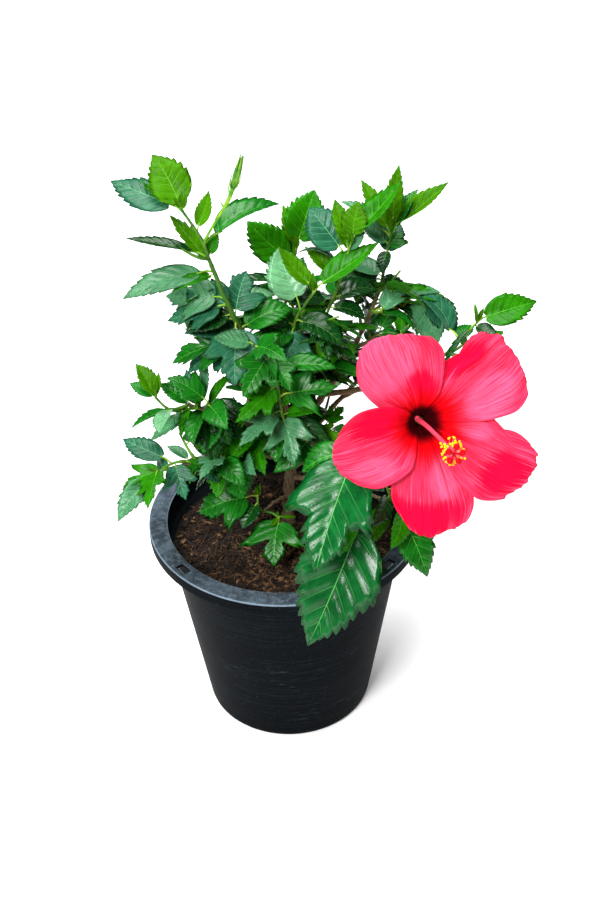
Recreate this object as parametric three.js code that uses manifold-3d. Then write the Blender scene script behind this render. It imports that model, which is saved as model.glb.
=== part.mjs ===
// A hibiscus shrub with one large open bloom and one flower bud, growing in a round plastic
// nursery pot. Millimetres, +Z up. The origin is the middle of the pot's flat underside, +X is
// the side that the bloom hangs on and -Y is the side that it faces.
import * as THREE from 'three';
import { mergeVertices } from 'three/addons/utils/BufferGeometryUtils.js';
import Module from 'manifold-3d';

// ---------------------------------------------------------------- driving dimensions

const GAP = 0.35;                 // clearance that touching solids keep

const POT = {
  height: 194,
  baseRadius: 72,
  baseRound: 5,                   // radius of the bottom edge
  floor: 3,
  floorRound: 3,                  // where the wall meets the floor inside
  wall: 2.2,
  neckRadius: 99.5,               // outside of the wall, under the band
  bandRadius: 101.5,              // slightly wider band that carries the rim
  bandHeight: 18,
  bandStep: 2,                    // slope under the band
  rimRadius: 115,
  rimHeight: 11,
  rimThickness: 2.6,
  lipRound: 1,
  segments: 40,
};
const DRAIN = { count: 6, radius: 6, circle: 50, sides: 12 };
const SLOT = { tangential: 12, radial: 7, circle: 107.5, azimuths: [39.5, 140.5, 219.5, 320.5] };

const SOIL = {
  top: 167,
  unevenness: 2.2,
  flatRadius: 16,                 // level patch that the trunk's foot is cut on
  sideGap: 0.95,                  // to the pot's wall, whose facets come inwards
  footRound: 5,
  segments: 24,
  rings: 5,
  seed: 11,
};

const TRUNK = { foot: [2, 20], lean: [8, -12], height: 118, footRadius: 5, topRadius: 3.8, footCut: 4 };
const FLARE = { extra: 3.2, share: 0.16 };     // widening at the foot, over this share of the trunk

// Main boughs. A bough leaves its parent at the share `at` of its length and reaches the point
// given by azimuth and reach from the pot's axis and by height over the soil. `bow` lifts its
// middle over the straight line, and the last two numbers are the radii of its ends.
const BOUGHS = [
  // name, parent, at, azimuth, reach, height, bow, foot radius, tip radius
  ['bough_left_top', 'trunk', 0.97, 209, 56, 288, -10, 3.4, 2.2],
  ['bough_middle', 'trunk', 1, 10, 20, 214, 0, 3.2, 2.2],
  ['bough_right_top', 'trunk', 0.86, 30, 92, 214, -14, 3.3, 2.2],
  ['bough_right_far', 'bough_right_top', 0.3, 14, 138, 162, -8, 2.8, 1.8],
  ['bough_left_side', 'trunk', 0.78, 207, 80, 166, 4, 3.2, 2],
  ['bough_left_low', 'trunk', 0.62, 209, 96, 114, 8, 3, 1.9],
  ['bough_bloom', 'trunk', 0.7, 338, 104, 157, -14, 3.2, 2.3],
  ['bough_front', 'trunk', 0.52, 305, 92, 146, 6, 3, 1.9],
  ['bough_low_right', 'trunk', 0.44, 325, 108, 82, 8, 2.6, 1.6],
  ['bough_low_front', 'trunk', 0.24, 231, 28, 47, 4, 2.2, 1.5],
  ['bough_back_left', 'trunk', 0.9, 128, 84, 160, 2, 3.1, 2],
  ['bough_back', 'trunk', 0.82, 76, 88, 166, 4, 3.1, 2],
  ['bough_back_right', 'trunk', 0.66, 45, 122, 128, 4, 3, 1.9],
  ['bud_stalk', 'bough_left_top', 0.93, 236, 50, 352, 3, 1.5, 1.2],
];
const LIMB = { sides: 6, rings: 6 };

// Masses of leaves. Each lies at an offset from the tip of its bough and has three half widths.
// One that hangs is leant in degrees about X and Y.
const MASSES = [
  // name, bough, offset, half widths, lobes, lean
  ['leaves_left_top', 'bough_left_top', [-16, -14, 46], [58, 42, 46], 9],
  ['leaves_left_upper', 'bough_left_top', [-14, -6, -38], [44, 38, 32], 7],
  ['leaves_middle_top', 'bough_middle', [2, 6, 54], [44, 40, 52], 8],
  ['leaves_right_top', 'bough_right_top', [4, 0, 50], [46, 42, 46], 9],
  ['leaves_right_tier', 'bough_right_top', [26, 10, -18], [46, 42, 24], 7],
  ['leaves_right_far', 'bough_right_far', [22, -10, 30], [36, 26, 28], 6],
  ['leaves_left_side', 'bough_left_side', [-12, -12, 14], [42, 40, 32], 8],
  ['leaves_left_low', 'bough_left_low', [-14, -10, -8], [36, 34, 32], 8],
  ['leaves_core', 'bough_middle', [-12, -14, -28], [62, 50, 40], 9],
  ['leaves_core_low', 'bough_left_low', [66, 16, 10], [54, 40, 34], 8],
  ['leaves_front', 'bough_front', [-3, -33, -73], [36, 12, 84], 6, [-20, 18]],
  ['leaves_right_low', 'bough_low_right', [14, -11, -15], [26, 16, 34], 5],
  ['leaves_back_left', 'bough_back_left', [-6, 8, 4], [50, 46, 38], 8],
  ['leaves_back', 'bough_back', [0, 14, 10], [52, 40, 40], 8],
  ['leaves_back_right', 'bough_back_right', [12, 8, 12], [46, 42, 38], 8],
  ['leaves_back_low', 'bough_back_left', [20, 16, -56], [46, 34, 30], 7],
  ['leaves_over_soil', 'bough_low_front', [-14, -16, 2], [32, 30, 16], 6],
];
const LOBE = { core: 0.78, height: 0.34, sharpness: 9, detail: 2, firstSeed: 101, seedStep: 7 };

// The bloom, along its own axis: a shallow funnel of five petals, a column and a calyx.
const BLOOM = {
  azimuth: 287,                   // the way it faces, and its tilt over the horizontal
  rise: 20,
  stalkClear: 40,                 // from the tip of its bough to the throat
  throatRadius: 3.6,
  throatDepth: 16,
  throatReach: 26,                // the petals bend outwards up to this distance from the axis
  throatCurve: 1.5,
  opening: 0.24,                  // slope of the open petals
};
const PETAL = {
  anglesAndLengths: [[37, 84], [110, 85], [183, 79], [262, 85], [329, 90]],
  thickness: 1.4,
  clawHalfAngle: 33,
  halfAngle: 46,
  clawShare: 0.4,                 // share of the length over which a petal widens
  roundFrom: 0.62,                // share of the length from which its end is rounded
  roundBy: 0.42,
  sideShorter: 0.1,
  overlap: 5,                     // how far one edge of a petal lies over its neighbour
  overlapShare: 0.7,
};
// Outlines turned about an axis, as pairs of radius and height.
const CALYX = { footRadius: 3.2, waist: [5.5, 5], shoulder: [8, 9], topRadius: 8.6, sides: 10 };
const COLUMN = {
  footRadius: 2.6,
  sides: 8,
  outline: [[1.6, 14], [1.5, 39], [4, 43], [7, 51], [7, 63], [3, 68], [5, 71], [4, 73]],
};
const BUD = {
  length: 30,
  radius: 4.4,
  sides: 8,
  outline: [[0.55, 0], [1, 0.25], [0.95, 0.5], [0.45, 0.8]],    // shares of radius and length
};

const COLOURS = {
  pot: 0x1d2126, soil: 0x4a3222, bark: 0x7a6748, stem: 0x6f9638,
  leaf: 0x2c6b34, youngLeaf: 0x79b03a, petal: 0xe8274f, column: 0xf0907a,
};

// ---------------------------------------------------------------- tools

const wasm = await Module();
wasm.setup();

const shrub = new THREE.Group();
const radians = THREE.MathUtils.degToRad;

function addMesh(name, geometry, colour, roughness = 0.6) {
  const material = new THREE.MeshStandardMaterial({ color: colour, roughness, metalness: 0 });
  const mesh = new THREE.Mesh(geometry, material);
  mesh.name = name;
  shrub.add(mesh);
  return mesh;
}

function bareGeometry(geometry) {
  geometry.deleteAttribute('normal');
  geometry.deleteAttribute('uv');
  return geometry;
}

function toManifold(geometry) {
  const merged = mergeVertices(bareGeometry(geometry.clone()), 1e-3);
  return new wasm.Manifold(new wasm.Mesh({
    numProp: 3,
    vertProperties: new Float32Array(merged.attributes.position.array),
    triVerts: new Uint32Array(merged.index.array),
  }));
}

function toGeometry(manifold) {
  const mesh = manifold.getMesh();
  const geometry = new THREE.BufferGeometry();
  geometry.setAttribute('position', new THREE.BufferAttribute(mesh.vertProperties, 3));
  geometry.setIndex(new THREE.BufferAttribute(mesh.triVerts, 1));
  geometry.computeVertexNormals();
  return geometry;
}

// The solid left when the cutters are taken away: its largest piece.
function cut(solid, cutters) {
  const rest = cutters.reduce((left, cutter) => left.subtract(cutter), solid);
  return rest.decompose().reduce((a, b) => (b.volume() > a.volume() ? b : a));
}

// Moves every vertex of a geometry to where `place` puts it.
function reshape(geometry, place) {
  const position = geometry.attributes.position;
  const point = new THREE.Vector3();
  for (let i = 0; i < position.count; i += 1) {
    point.fromBufferAttribute(position, i);
    const moved = place(point);
    position.setXYZ(i, moved.x, moved.y, moved.z);
  }
  geometry.computeVertexNormals();
  return geometry;
}

// A small repeatable random generator, mulberry32.
function seededRandom(seed) {
  let state = seed >>> 0;
  return () => {
    state = (state + 0x6d2b79f5) >>> 0;
    let t = state;
    t = Math.imul(t ^ (t >>> 15), t | 1);
    t ^= t + Math.imul(t ^ (t >>> 7), t | 61);
    return ((t ^ (t >>> 14)) >>> 0) / 4294967296;
  };
}

function polar(azimuth, reach, z) {
  return new THREE.Vector3(reach * Math.cos(radians(azimuth)), reach * Math.sin(radians(azimuth)), z);
}

// ---------------------------------------------------------------- pot and soil

function wallRadius(z) {
  const neck = POT.height - POT.bandHeight;
  return POT.baseRadius + (POT.neckRadius - POT.baseRadius) * Math.min(z / neck, 1);
}

function lathe(points, segments) {
  // A profile drawn counter-clockwise in (radius, height), turned to stand along +Z.
  const profile = points.map(([r, z]) => new THREE.Vector2(r, z));
  return new THREE.LatheGeometry(profile, segments).rotateX(Math.PI / 2);
}

function potSolid() {
  const { height, baseRadius, baseRound, floor, wall, bandRadius, rimRadius, lipRound } = POT;
  const bandFoot = height - POT.bandHeight;
  const mouth = bandRadius - wall;
  const rimUnder = height - POT.rimThickness;
  const lip = height - POT.rimHeight;
  const body = toManifold(lathe([
    [0, 0],
    [baseRadius - baseRound, 0],
    [baseRadius - 0.3 * baseRound, 0.3 * baseRound],
    [wallRadius(baseRound), baseRound],
    [wallRadius(bandFoot), bandFoot],
    [bandRadius, bandFoot + POT.bandStep],
    [bandRadius, rimUnder],
    [rimRadius - POT.rimThickness, rimUnder],
    [rimRadius - POT.rimThickness, lip],
    [rimRadius, lip],
    [rimRadius, height - lipRound],
    [rimRadius - lipRound, height],
    [mouth + lipRound, height],
    [mouth, height - lipRound],
    [wallRadius(bandFoot) - wall, bandFoot],
    [wallRadius(floor + POT.floorRound) - wall, floor + POT.floorRound],
    [wallRadius(floor) - wall - POT.floorRound, floor],
    [0, floor],
  ], POT.segments));
  const slots = SLOT.azimuths.map((azimuth) => {
    const box = new THREE.BoxGeometry(SLOT.radial, SLOT.tangential, 3 * POT.rimThickness);
    box.translate(SLOT.circle, 0, height);
    return toManifold(box.rotateZ(radians(azimuth)));
  });
  const drains = Array.from({ length: DRAIN.count }, (_, i) => {
    const hole = new THREE.CylinderGeometry(DRAIN.radius, DRAIN.radius, 3 * floor, DRAIN.sides);
    hole.rotateX(Math.PI / 2).translate(DRAIN.circle, 0, 0);
    return toManifold(hole.rotateZ((2 * Math.PI * i) / DRAIN.count));
  });
  return toGeometry(cut(body, [...slots, ...drains]));
}

function soilSolid() {
  const random = seededRandom(SOIL.seed);
  const bottom = POT.floor + GAP;
  const rounded = bottom + SOIL.footRound;
  const inside = (z) => wallRadius(z) - POT.wall - SOIL.sideGap;
  const points = [[0, bottom], [inside(bottom) - SOIL.footRound, bottom], [inside(rounded), rounded]];
  for (let i = 0; i < SOIL.rings; i += 1) {
    const share = 1 - i / SOIL.rings;
    const radius = SOIL.flatRadius + (inside(SOIL.top) - SOIL.flatRadius) * share;
    points.push([radius, SOIL.top]);
  }
  points.push([SOIL.flatRadius, SOIL.top], [0, SOIL.top]);
  const soil = mergeVertices(bareGeometry(lathe(points, SOIL.segments)), 1e-3);
  return reshape(soil, (p) => {
    const radius = Math.hypot(p.x, p.y);
    if (p.z > SOIL.top - 0.1 && radius > SOIL.flatRadius + 1) {
      p.z += SOIL.unevenness * (random() - 0.6);
    }
    return p;
  });
}

// ---------------------------------------------------------------- trunk and boughs

const lines = {};                 // the centre line of each limb, by name

function trunkLine() {
  const [x, y] = TRUNK.foot;
  const [dx, dy] = TRUNK.lean;
  return new THREE.CatmullRomCurve3([
    new THREE.Vector3(x, y, SOIL.top),
    new THREE.Vector3(x + 0.2 * dx, y + 0.3 * dy, SOIL.top + 0.35 * TRUNK.height),
    new THREE.Vector3(x + 0.7 * dx, y + 0.75 * dy, SOIL.top + 0.7 * TRUNK.height),
    new THREE.Vector3(x + dx, y + dy, SOIL.top + TRUNK.height),
  ]);
}

function boughLine(start, end, bow) {
  const middle = start.clone().lerp(end, 0.5);
  middle.z += 2 * bow;
  return new THREE.QuadraticBezierCurve3(start, middle, end);
}

// A tapered limb along a line: a cylinder whose rings are set out on the line. `grow` makes the
// slightly larger copy that its neighbours are cut with.
function limbSolid(line, radiusAt, grow = 0) {
  const frames = line.computeFrenetFrames(LIMB.rings, false);
  const cylinder = new THREE.CylinderGeometry(1, 1, 1, LIMB.sides, LIMB.rings);
  return reshape(cylinder, (p) => {
    const ring = Math.round((p.y + 0.5) * LIMB.rings);
    const share = ring / LIMB.rings;
    const centre = line.getPointAt(share);
    const overrun = ring === 0 ? -grow : (ring === LIMB.rings ? grow : 0);
    const radius = radiusAt(share) + grow;
    return centre
      .addScaledVector(frames.tangents[ring], overrun)
      .addScaledVector(frames.normals[ring], p.x * radius)
      .addScaledVector(frames.binormals[ring], -p.z * radius);
  });
}

function trunkRadius(share) {
  const flare = FLARE.extra * Math.max(0, 1 - share / FLARE.share) ** 2;
  return THREE.MathUtils.lerp(TRUNK.footRadius, TRUNK.topRadius, share) + flare;
}

// The trunk's foot is a flat cut on the soil.
function trunkSolid(grow = 0) {
  const limb = limbSolid(lines.trunk, trunkRadius, grow);
  return reshape(limb, (p) => {
    if (p.z < SOIL.top + TRUNK.footCut) {
      p.z = SOIL.top + GAP - grow;
    }
    return p;
  });
}

function buildLimbs() {
  const grown = [];
  lines.trunk = trunkLine();
  addMesh('trunk', trunkSolid(), COLOURS.bark, 0.85);
  grown.push(toManifold(trunkSolid(GAP)));
  for (const [name, parent, at, azimuth, reach, height, bow, footRadius, tipRadius] of BOUGHS) {
    const start = lines[parent].getPointAt(at);
    const line = boughLine(start, polar(azimuth, reach, SOIL.top + height), bow);
    lines[name] = line;
    const radiusAt = (share) => THREE.MathUtils.lerp(footRadius, tipRadius, share);
    const solid = cut(toManifold(limbSolid(line, radiusAt)), grown);
    addMesh(name, toGeometry(solid), name === 'bud_stalk' ? COLOURS.stem : COLOURS.bark, 0.8);
    grown.push(toManifold(limbSolid(line, radiusAt, GAP)));
  }
  return grown;
}

// ---------------------------------------------------------------- bloom and bud

// A frame whose Z looks along the bloom's axis, with X to the bloom's right and Y up.
function axisFrame(origin, azimuth, rise) {
  const level = Math.cos(radians(rise));
  const forward = polar(azimuth, level, Math.sin(radians(rise)));
  const side = new THREE.Vector3(0, 0, 1).cross(forward).normalize();
  const up = forward.clone().cross(side);
  return new THREE.Matrix4().makeBasis(side, up, forward).setPosition(origin);
}

// Height of the funnel over the throat's floor at a distance from its axis.
function funnelHeight(radius) {
  const deep = Math.max(0, 1 - radius / BLOOM.throatReach);
  return BLOOM.opening * radius - BLOOM.throatDepth * deep ** BLOOM.throatCurve;
}

// One petal: a thin box bent onto the funnel. u runs across it and v from its claw to its edge.
function petalGeometry(angle, length, grow = 0) {
  const box = new THREE.BoxGeometry(2, 1, 1, 6, 6, 1);
  return reshape(box, (p) => {
    const u = -p.x;
    const v = p.y + 0.5;
    const widened = Math.min(1, v / PETAL.clawShare);
    const spread = THREE.MathUtils.lerp(PETAL.clawHalfAngle, PETAL.halfAngle, widened);
    const nearEnd = Math.max(0, (v - PETAL.roundFrom) / (1 - PETAL.roundFrom));
    const turn = radians(angle + u * spread * (1 - PETAL.roundBy * nearEnd ** 2));
    const radius = BLOOM.throatRadius + length * (1 - PETAL.sideShorter * u * u) * v;
    const tilt = PETAL.overlap * u * Math.min(1, v / PETAL.overlapShare);
    const height = funnelHeight(radius) + tilt + p.z * (PETAL.thickness + 2 * grow);
    return new THREE.Vector3(radius * Math.cos(turn), radius * Math.sin(turn), height);
  });
}

function buildBloom(limbs) {
  const tip = lines.bough_bloom.getPointAt(1);
  const facing = axisFrame(new THREE.Vector3(), BLOOM.azimuth, BLOOM.rise);
  const forward = new THREE.Vector3(0, 0, 1).applyMatrix4(facing);
  const throat = tip.clone().addScaledVector(forward, BLOOM.stalkClear);
  const placed = axisFrame(throat, BLOOM.azimuth, BLOOM.rise);
  const seat = funnelHeight(BLOOM.throatRadius) - PETAL.thickness / 2 - GAP;

  const foot = GAP - BLOOM.stalkClear;
  const [waistRadius, waistHeight] = CALYX.waist;
  const [shoulderRadius, shoulderDepth] = CALYX.shoulder;
  const calyx = lathe([
    [0, foot],
    [CALYX.footRadius, foot],
    [waistRadius, foot + waistHeight],
    [shoulderRadius, seat - shoulderDepth],
    [CALYX.topRadius, seat],
    [0, seat],
  ], CALYX.sides);
  const cup = cut(toManifold(calyx.applyMatrix4(placed)), limbs);
  addMesh('bloom_calyx', toGeometry(cup), COLOURS.stem, 0.5);

  const grown = [];
  PETAL.anglesAndLengths.forEach(([angle, length], i) => {
    const petal = cut(toManifold(petalGeometry(angle, length).applyMatrix4(placed)), grown);
    addMesh(`bloom_petal_${i + 1}`, toGeometry(petal), COLOURS.petal, 0.45);
    grown.push(toManifold(petalGeometry(angle, length, GAP).applyMatrix4(placed)));
  });

  const base = seat + GAP;
  const outline = COLUMN.outline.map(([radius, height]) => [radius, base + height]);
  const [, end] = outline.at(-1);
  const column = lathe([[0, base], [COLUMN.footRadius, base], ...outline, [0, end]], COLUMN.sides);
  addMesh('bloom_column', column.applyMatrix4(placed), COLOURS.column, 0.5);
}

// The bud stands on the end of its stalk and carries the stalk's line on.
function budSolid(grow = 0) {
  const line = lines.bud_stalk;
  const tip = line.getPointAt(1);
  const foot = GAP - grow;
  const outline = BUD.outline.map(([across, along]) => [
    across * BUD.radius + grow,
    Math.max(foot, along * BUD.length),
  ]);
  const bud = lathe([[0, foot], ...outline, [0, BUD.length + grow]], BUD.sides);
  const turn = new THREE.Quaternion().setFromUnitVectors(new THREE.Vector3(0, 0, 1), line.getTangentAt(1));
  return toManifold(bud.applyQuaternion(turn).translate(tip.x, tip.y, tip.z));
}

function buildBud(limbs) {
  addMesh('flower_bud', toGeometry(cut(budSolid(), limbs)), COLOURS.youngLeaf, 0.5);
  return budSolid(GAP);
}

// ---------------------------------------------------------------- masses of leaves

// An uneven ball: lobes stand out where seeded directions point, as tufts of leaves do.
function massSolid([, bough, offset, halfWidths, lobeCount, lean = [0, 0]], seed, grow = 0) {
  const random = seededRandom(seed);
  const lobes = Array.from({ length: lobeCount }, () => {
    const z = 2 * random() - 1;
    const toward = polar(360 * random(), Math.sqrt(1 - z * z), z);
    return { toward, height: LOBE.height * (0.5 + random()) };
  });
  const half = new THREE.Vector3(...halfWidths);
  const centre = lines[bough].getPointAt(1).add(new THREE.Vector3(...offset));
  const ball = mergeVertices(bareGeometry(new THREE.IcosahedronGeometry(1, LOBE.detail)), 1e-4);
  reshape(ball, (p) => {
    const swell = lobes.reduce(
      (sum, lobe) => sum + lobe.height * Math.exp(LOBE.sharpness * (p.dot(lobe.toward) - 1)), 0);
    return p.clone().multiply(half).multiplyScalar(LOBE.core + swell).addScaledVector(p, grow);
  });
  ball.rotateX(radians(lean[0])).rotateY(radians(lean[1]));
  return toManifold(ball.translate(centre.x, centre.y, centre.z));
}

function buildMasses(taken) {
  const grown = [];
  MASSES.forEach((mass, index) => {
    const [name] = mass;
    const seed = LOBE.firstSeed + LOBE.seedStep * index;
    const solid = cut(massSolid(mass, seed), [...taken, ...grown]);
    const colour = name.endsWith('_top') ? COLOURS.youngLeaf : COLOURS.leaf;
    addMesh(name, toGeometry(solid), colour, 0.5);
    grown.push(massSolid(mass, seed, GAP));
  });
}

// ---------------------------------------------------------------- assembly

addMesh('pot', potSolid(), COLOURS.pot, 0.45);
addMesh('soil', soilSolid(), COLOURS.soil, 0.95);
const limbs = buildLimbs();
buildBloom(limbs);
const bud = buildBud(limbs);
buildMasses([...limbs, bud]);

export default shrub;
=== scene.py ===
"""A hibiscus shrub with one large open bloom and one bud, growing in a round nursery pot.

The trunk, the boughs and the pot are measured on the loaded frame. Shoots grow on from the
boughs, leaves stand along the shoots, and each kind of leaf is joined into one piece.
Lengths in the tables are millimetres and angles are degrees; meshes are in metres.
"""
import math

import bpy
import bmesh
import numpy as np
from bpy.props import FloatProperty, FloatVectorProperty, IntProperty, PointerProperty
from mathutils import Matrix, Vector, noise


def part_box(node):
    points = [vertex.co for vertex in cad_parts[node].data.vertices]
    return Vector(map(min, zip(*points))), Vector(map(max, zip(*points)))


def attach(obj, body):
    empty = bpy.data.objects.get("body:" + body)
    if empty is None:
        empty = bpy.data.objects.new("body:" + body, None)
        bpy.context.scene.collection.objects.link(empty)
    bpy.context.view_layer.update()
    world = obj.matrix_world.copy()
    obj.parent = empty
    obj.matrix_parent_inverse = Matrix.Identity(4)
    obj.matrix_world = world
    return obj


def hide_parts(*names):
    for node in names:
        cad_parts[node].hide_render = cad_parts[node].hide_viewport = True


bl_info = {
    "name": "Potted hibiscus shrub",
    "version": (1, 0, 0),
    "blender": (4, 5, 0),
    "location": "3D View > Sidebar > Hibiscus",
    "description": "Grows a hibiscus shrub with one open bloom in a round nursery pot",
    "category": "Object",
}

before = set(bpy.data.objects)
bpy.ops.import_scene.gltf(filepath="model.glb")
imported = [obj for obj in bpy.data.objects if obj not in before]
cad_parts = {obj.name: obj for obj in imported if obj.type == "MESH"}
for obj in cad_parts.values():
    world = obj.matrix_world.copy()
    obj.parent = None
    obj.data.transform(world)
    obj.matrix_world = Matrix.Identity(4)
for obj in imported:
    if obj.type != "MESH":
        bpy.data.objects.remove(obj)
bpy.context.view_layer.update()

MM = 0.001
UP = np.array([0.0, 0.0, 1.0])
FRONT = np.array([0.0, -0.8, 0.6])
GOLDEN_TURN = 137.5

# ---------------------------------------------------------------- sizes of the pieces

# The pot's profile follows its CAD solid; these are the details that a user sees on it.
POT = {
    "base_round": 5,
    "floor": 3,
    "wall": 2.2,
    "neck_radius": 99.5,
    "band_radius": 101.5,
    "band_height": 18,
    "base_radius": 72,
    "rim_height": 11,
    "rim_thickness": 2.6,
    "ridge": 0.7,
    "segments": 192,
    "sharp_from": 38,
}
DRAINS = {"count": 6, "radius": 6, "circle": 50, "segments": 24, "from": -6, "to": 9}
SLOTS = {"tangential": 12, "radial": 7, "depth": 12, "corner": 1.6, "circle": 107.5,
         "azimuths": (39.5, 140.5, 219.5, 320.5)}
# The soil's top is a disc of rings; its side goes down over the shoulder to the pot's floor.
SOIL = {"rings": 72, "segments": 200, "gap": 0.4, "edge_relief": 0.4, "sunk": 1.0, "shoulder": 60,
        "shoulder_gap": 3, "floor_gap": 8, "mound": 3.0, "mound_spread": 900, "mound_back": 18}
# Part of the chips and of the fibres lies closer together in front: that share of them, how much
# closer, and the middle of the place.
CHIPS_CROWD = (0.65, 0.5, 18, -36)
FIBRES_CROWD = (0.4, 0.6, 15, -34)

# Bark: how far its ridges stand out, and the swelling and the half width of a leaf scar's ring.
BARK_RIDGES = 0.11
SCAR_SWELL = 0.22
SCAR_HALF = 1.1
# The trunk's root flare: how much wider its foot is, and over what share of its length.
ROOT_FLARE = (3.2, 0.16)

# Seeds of the random draws.
LITTER_SEED = 5
LIMB_SEED = 3
CROWN_SEED = 41
COLUMN_SEED = 8

# Outlines of the leaves, on a blade of unit length. `rise` and `fall` are the powers that shape
# the outline before and after its fullest place.
LEAF_FORMS = {
    # name: width, rise, fall, teeth on each side, depth of teeth, depth of lobes
    "oval": (0.56, 0.62, 1.15, 7, 0.10, 0.0),
    "broad": (0.72, 0.58, 1.05, 7, 0.10, 0.0),
    "lance": (0.36, 0.75, 1.1, 6, 0.16, 0.0),
    "lobed": (0.68, 0.5, 1.25, 6, 0.18, 0.34),
    "deep": (0.74, 0.45, 1.3, 6, 0.18, 0.54),
    "great": (0.66, 0.58, 1.2, 9, 0.10, 0.05),
    "great_lobed": (0.78, 0.5, 1.15, 8, 0.12, 0.20),
}
LEAF_VARIANTS = 4
SIDE_VEINS = 6
MIDRIB_RINGS = 11
MIDRIB_FACES = 4 * (MIDRIB_RINGS - 1)
# The first rows of a blade, up to the share FAN, spread like a fan from one place at its foot.
FAN = 0.2
FAN_ROWS = 5
TOOTH_PHASES = (0.0, 0.4, 0.8)
TOOTH_HEIGHTS = (0.0, 0.66, 1.0)
# Places of a blade's grid columns between its midrib and its margin.
BLADE_COLUMNS = np.array([0.0, 0.28, 0.54, 0.78, 1.0])
HALF_COLUMNS = len(BLADE_COLUMNS) - 1
BLADE_THICKNESS = 0.0055
LEAF_ROUGHNESS = {"glossy": 0.17}

# Colours of leaf kinds: upper side, underside. Blue and pale are leaf colours that also paint a sky
# sheen; silver is a painted sheen.
LEAF_KINDS = {
    "light": ((0.040, 0.165, 0.001), (0.12, 0.32, 0.01)),
    "fresh": ((0.016, 0.160, 0.001), (0.06, 0.24, 0.01)),
    "green": ((0.006, 0.125, 0.006), (0.03, 0.18, 0.01)),
    "dark": ((0.002, 0.045, 0.005), (0.015, 0.10, 0.01)),
    "blue": ((0.018, 0.115, 0.055), (0.05, 0.18, 0.06)),
    "pale": ((0.055, 0.205, 0.085), (0.12, 0.28, 0.10)),
    "silver_sheen": ((0.120, 0.330, 0.150), (0.20, 0.42, 0.18)),
    "yellow": ((0.42, 0.38, 0.02), (0.45, 0.45, 0.06)),
    "glossy": ((0.003, 0.092, 0.016), (0.05, 0.19, 0.04)),
}
# How much light the blades of a kind throw back as gloss.
LEAF_GLOSS = {
    "light": 0.04, "fresh": 0.09, "green": 0.20, "dark": 0.34,
    "blue": 0.13, "pale": 0.22, "silver_sheen": 0.34, "yellow": 0.10, "glossy": 0.25,
}
# How much lighter the midrib and the side veins are than the blade.
VEIN_LIGHTNESS = {
    "light": (1.7, 1.3), "fresh": (2.0, 1.4), "green": (2.6, 1.7), "dark": (3.2, 2.2),
    "blue": (2.6, 1.9), "pale": (1.6, 1.4), "silver_sheen": (1.2, 1.2), "yellow": (1.1, 1.1),
    "glossy": (3.0, 1.7),
}
RIB_PALENESS = (0.045, 0.045, 0.014)
QUILTED = {"glossy": 0.8, "light": 0.5, "pale": 0.5, "blue": 0.5, "silver_sheen": 0.5}
# The rule picks a leaf's kind by one draw between 0 and 1: each kind, and where its share ends.
OLD_KINDS = (("dark", 0.42), ("green", 0.72), ("blue", 0.84), ("fresh", 1.0))
YOUNG_KINDS = (("green", 0.36), ("fresh", 0.72), ("light", 0.84), ("silver_sheen", 0.91), ("pale", 1.0))

# Places where the sky shows between the sprays, on the plane OPENING_PLANE behind the pot's
# axis: x and height of the middle, and the radius. The rule's leaves keep clear of the lines
# from OUTLOOK through them.
OUTLOOK = (0.014, -0.990, 0.990)
OPENING_PLANE = 0.010
OPENINGS = [
    (105, 425, 20), (80, 435, 8), (55, 380, 10), (45, 380, 7), (75, 380, 6), (130, 355, 11),
    (40, 310, 5), (30, 300, 5), (30, 430, 7), (25, 450, 7), (0, 435, 6),
    (-30, 305, 8), (-40, 310, 6), (-50, 335, 8), (-55, 320, 8), (-60, 385, 7), (-60, 415, 8),
    (-70, 435, 7), (-80, 440, 10), (-95, 440, 15), (-70, 370, 6), (-90, 370, 18),
    (-75, 290, 5), (-85, 305, 6), (-110, 300, 14), (-125, 300, 14), (-90, 270, 7), (-85, 265, 5),
    (-75, 245, 5), (-85, 245, 6), (-100, 245, 7), (-125, 240, 8), (-140, 245, 16),
]

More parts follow.
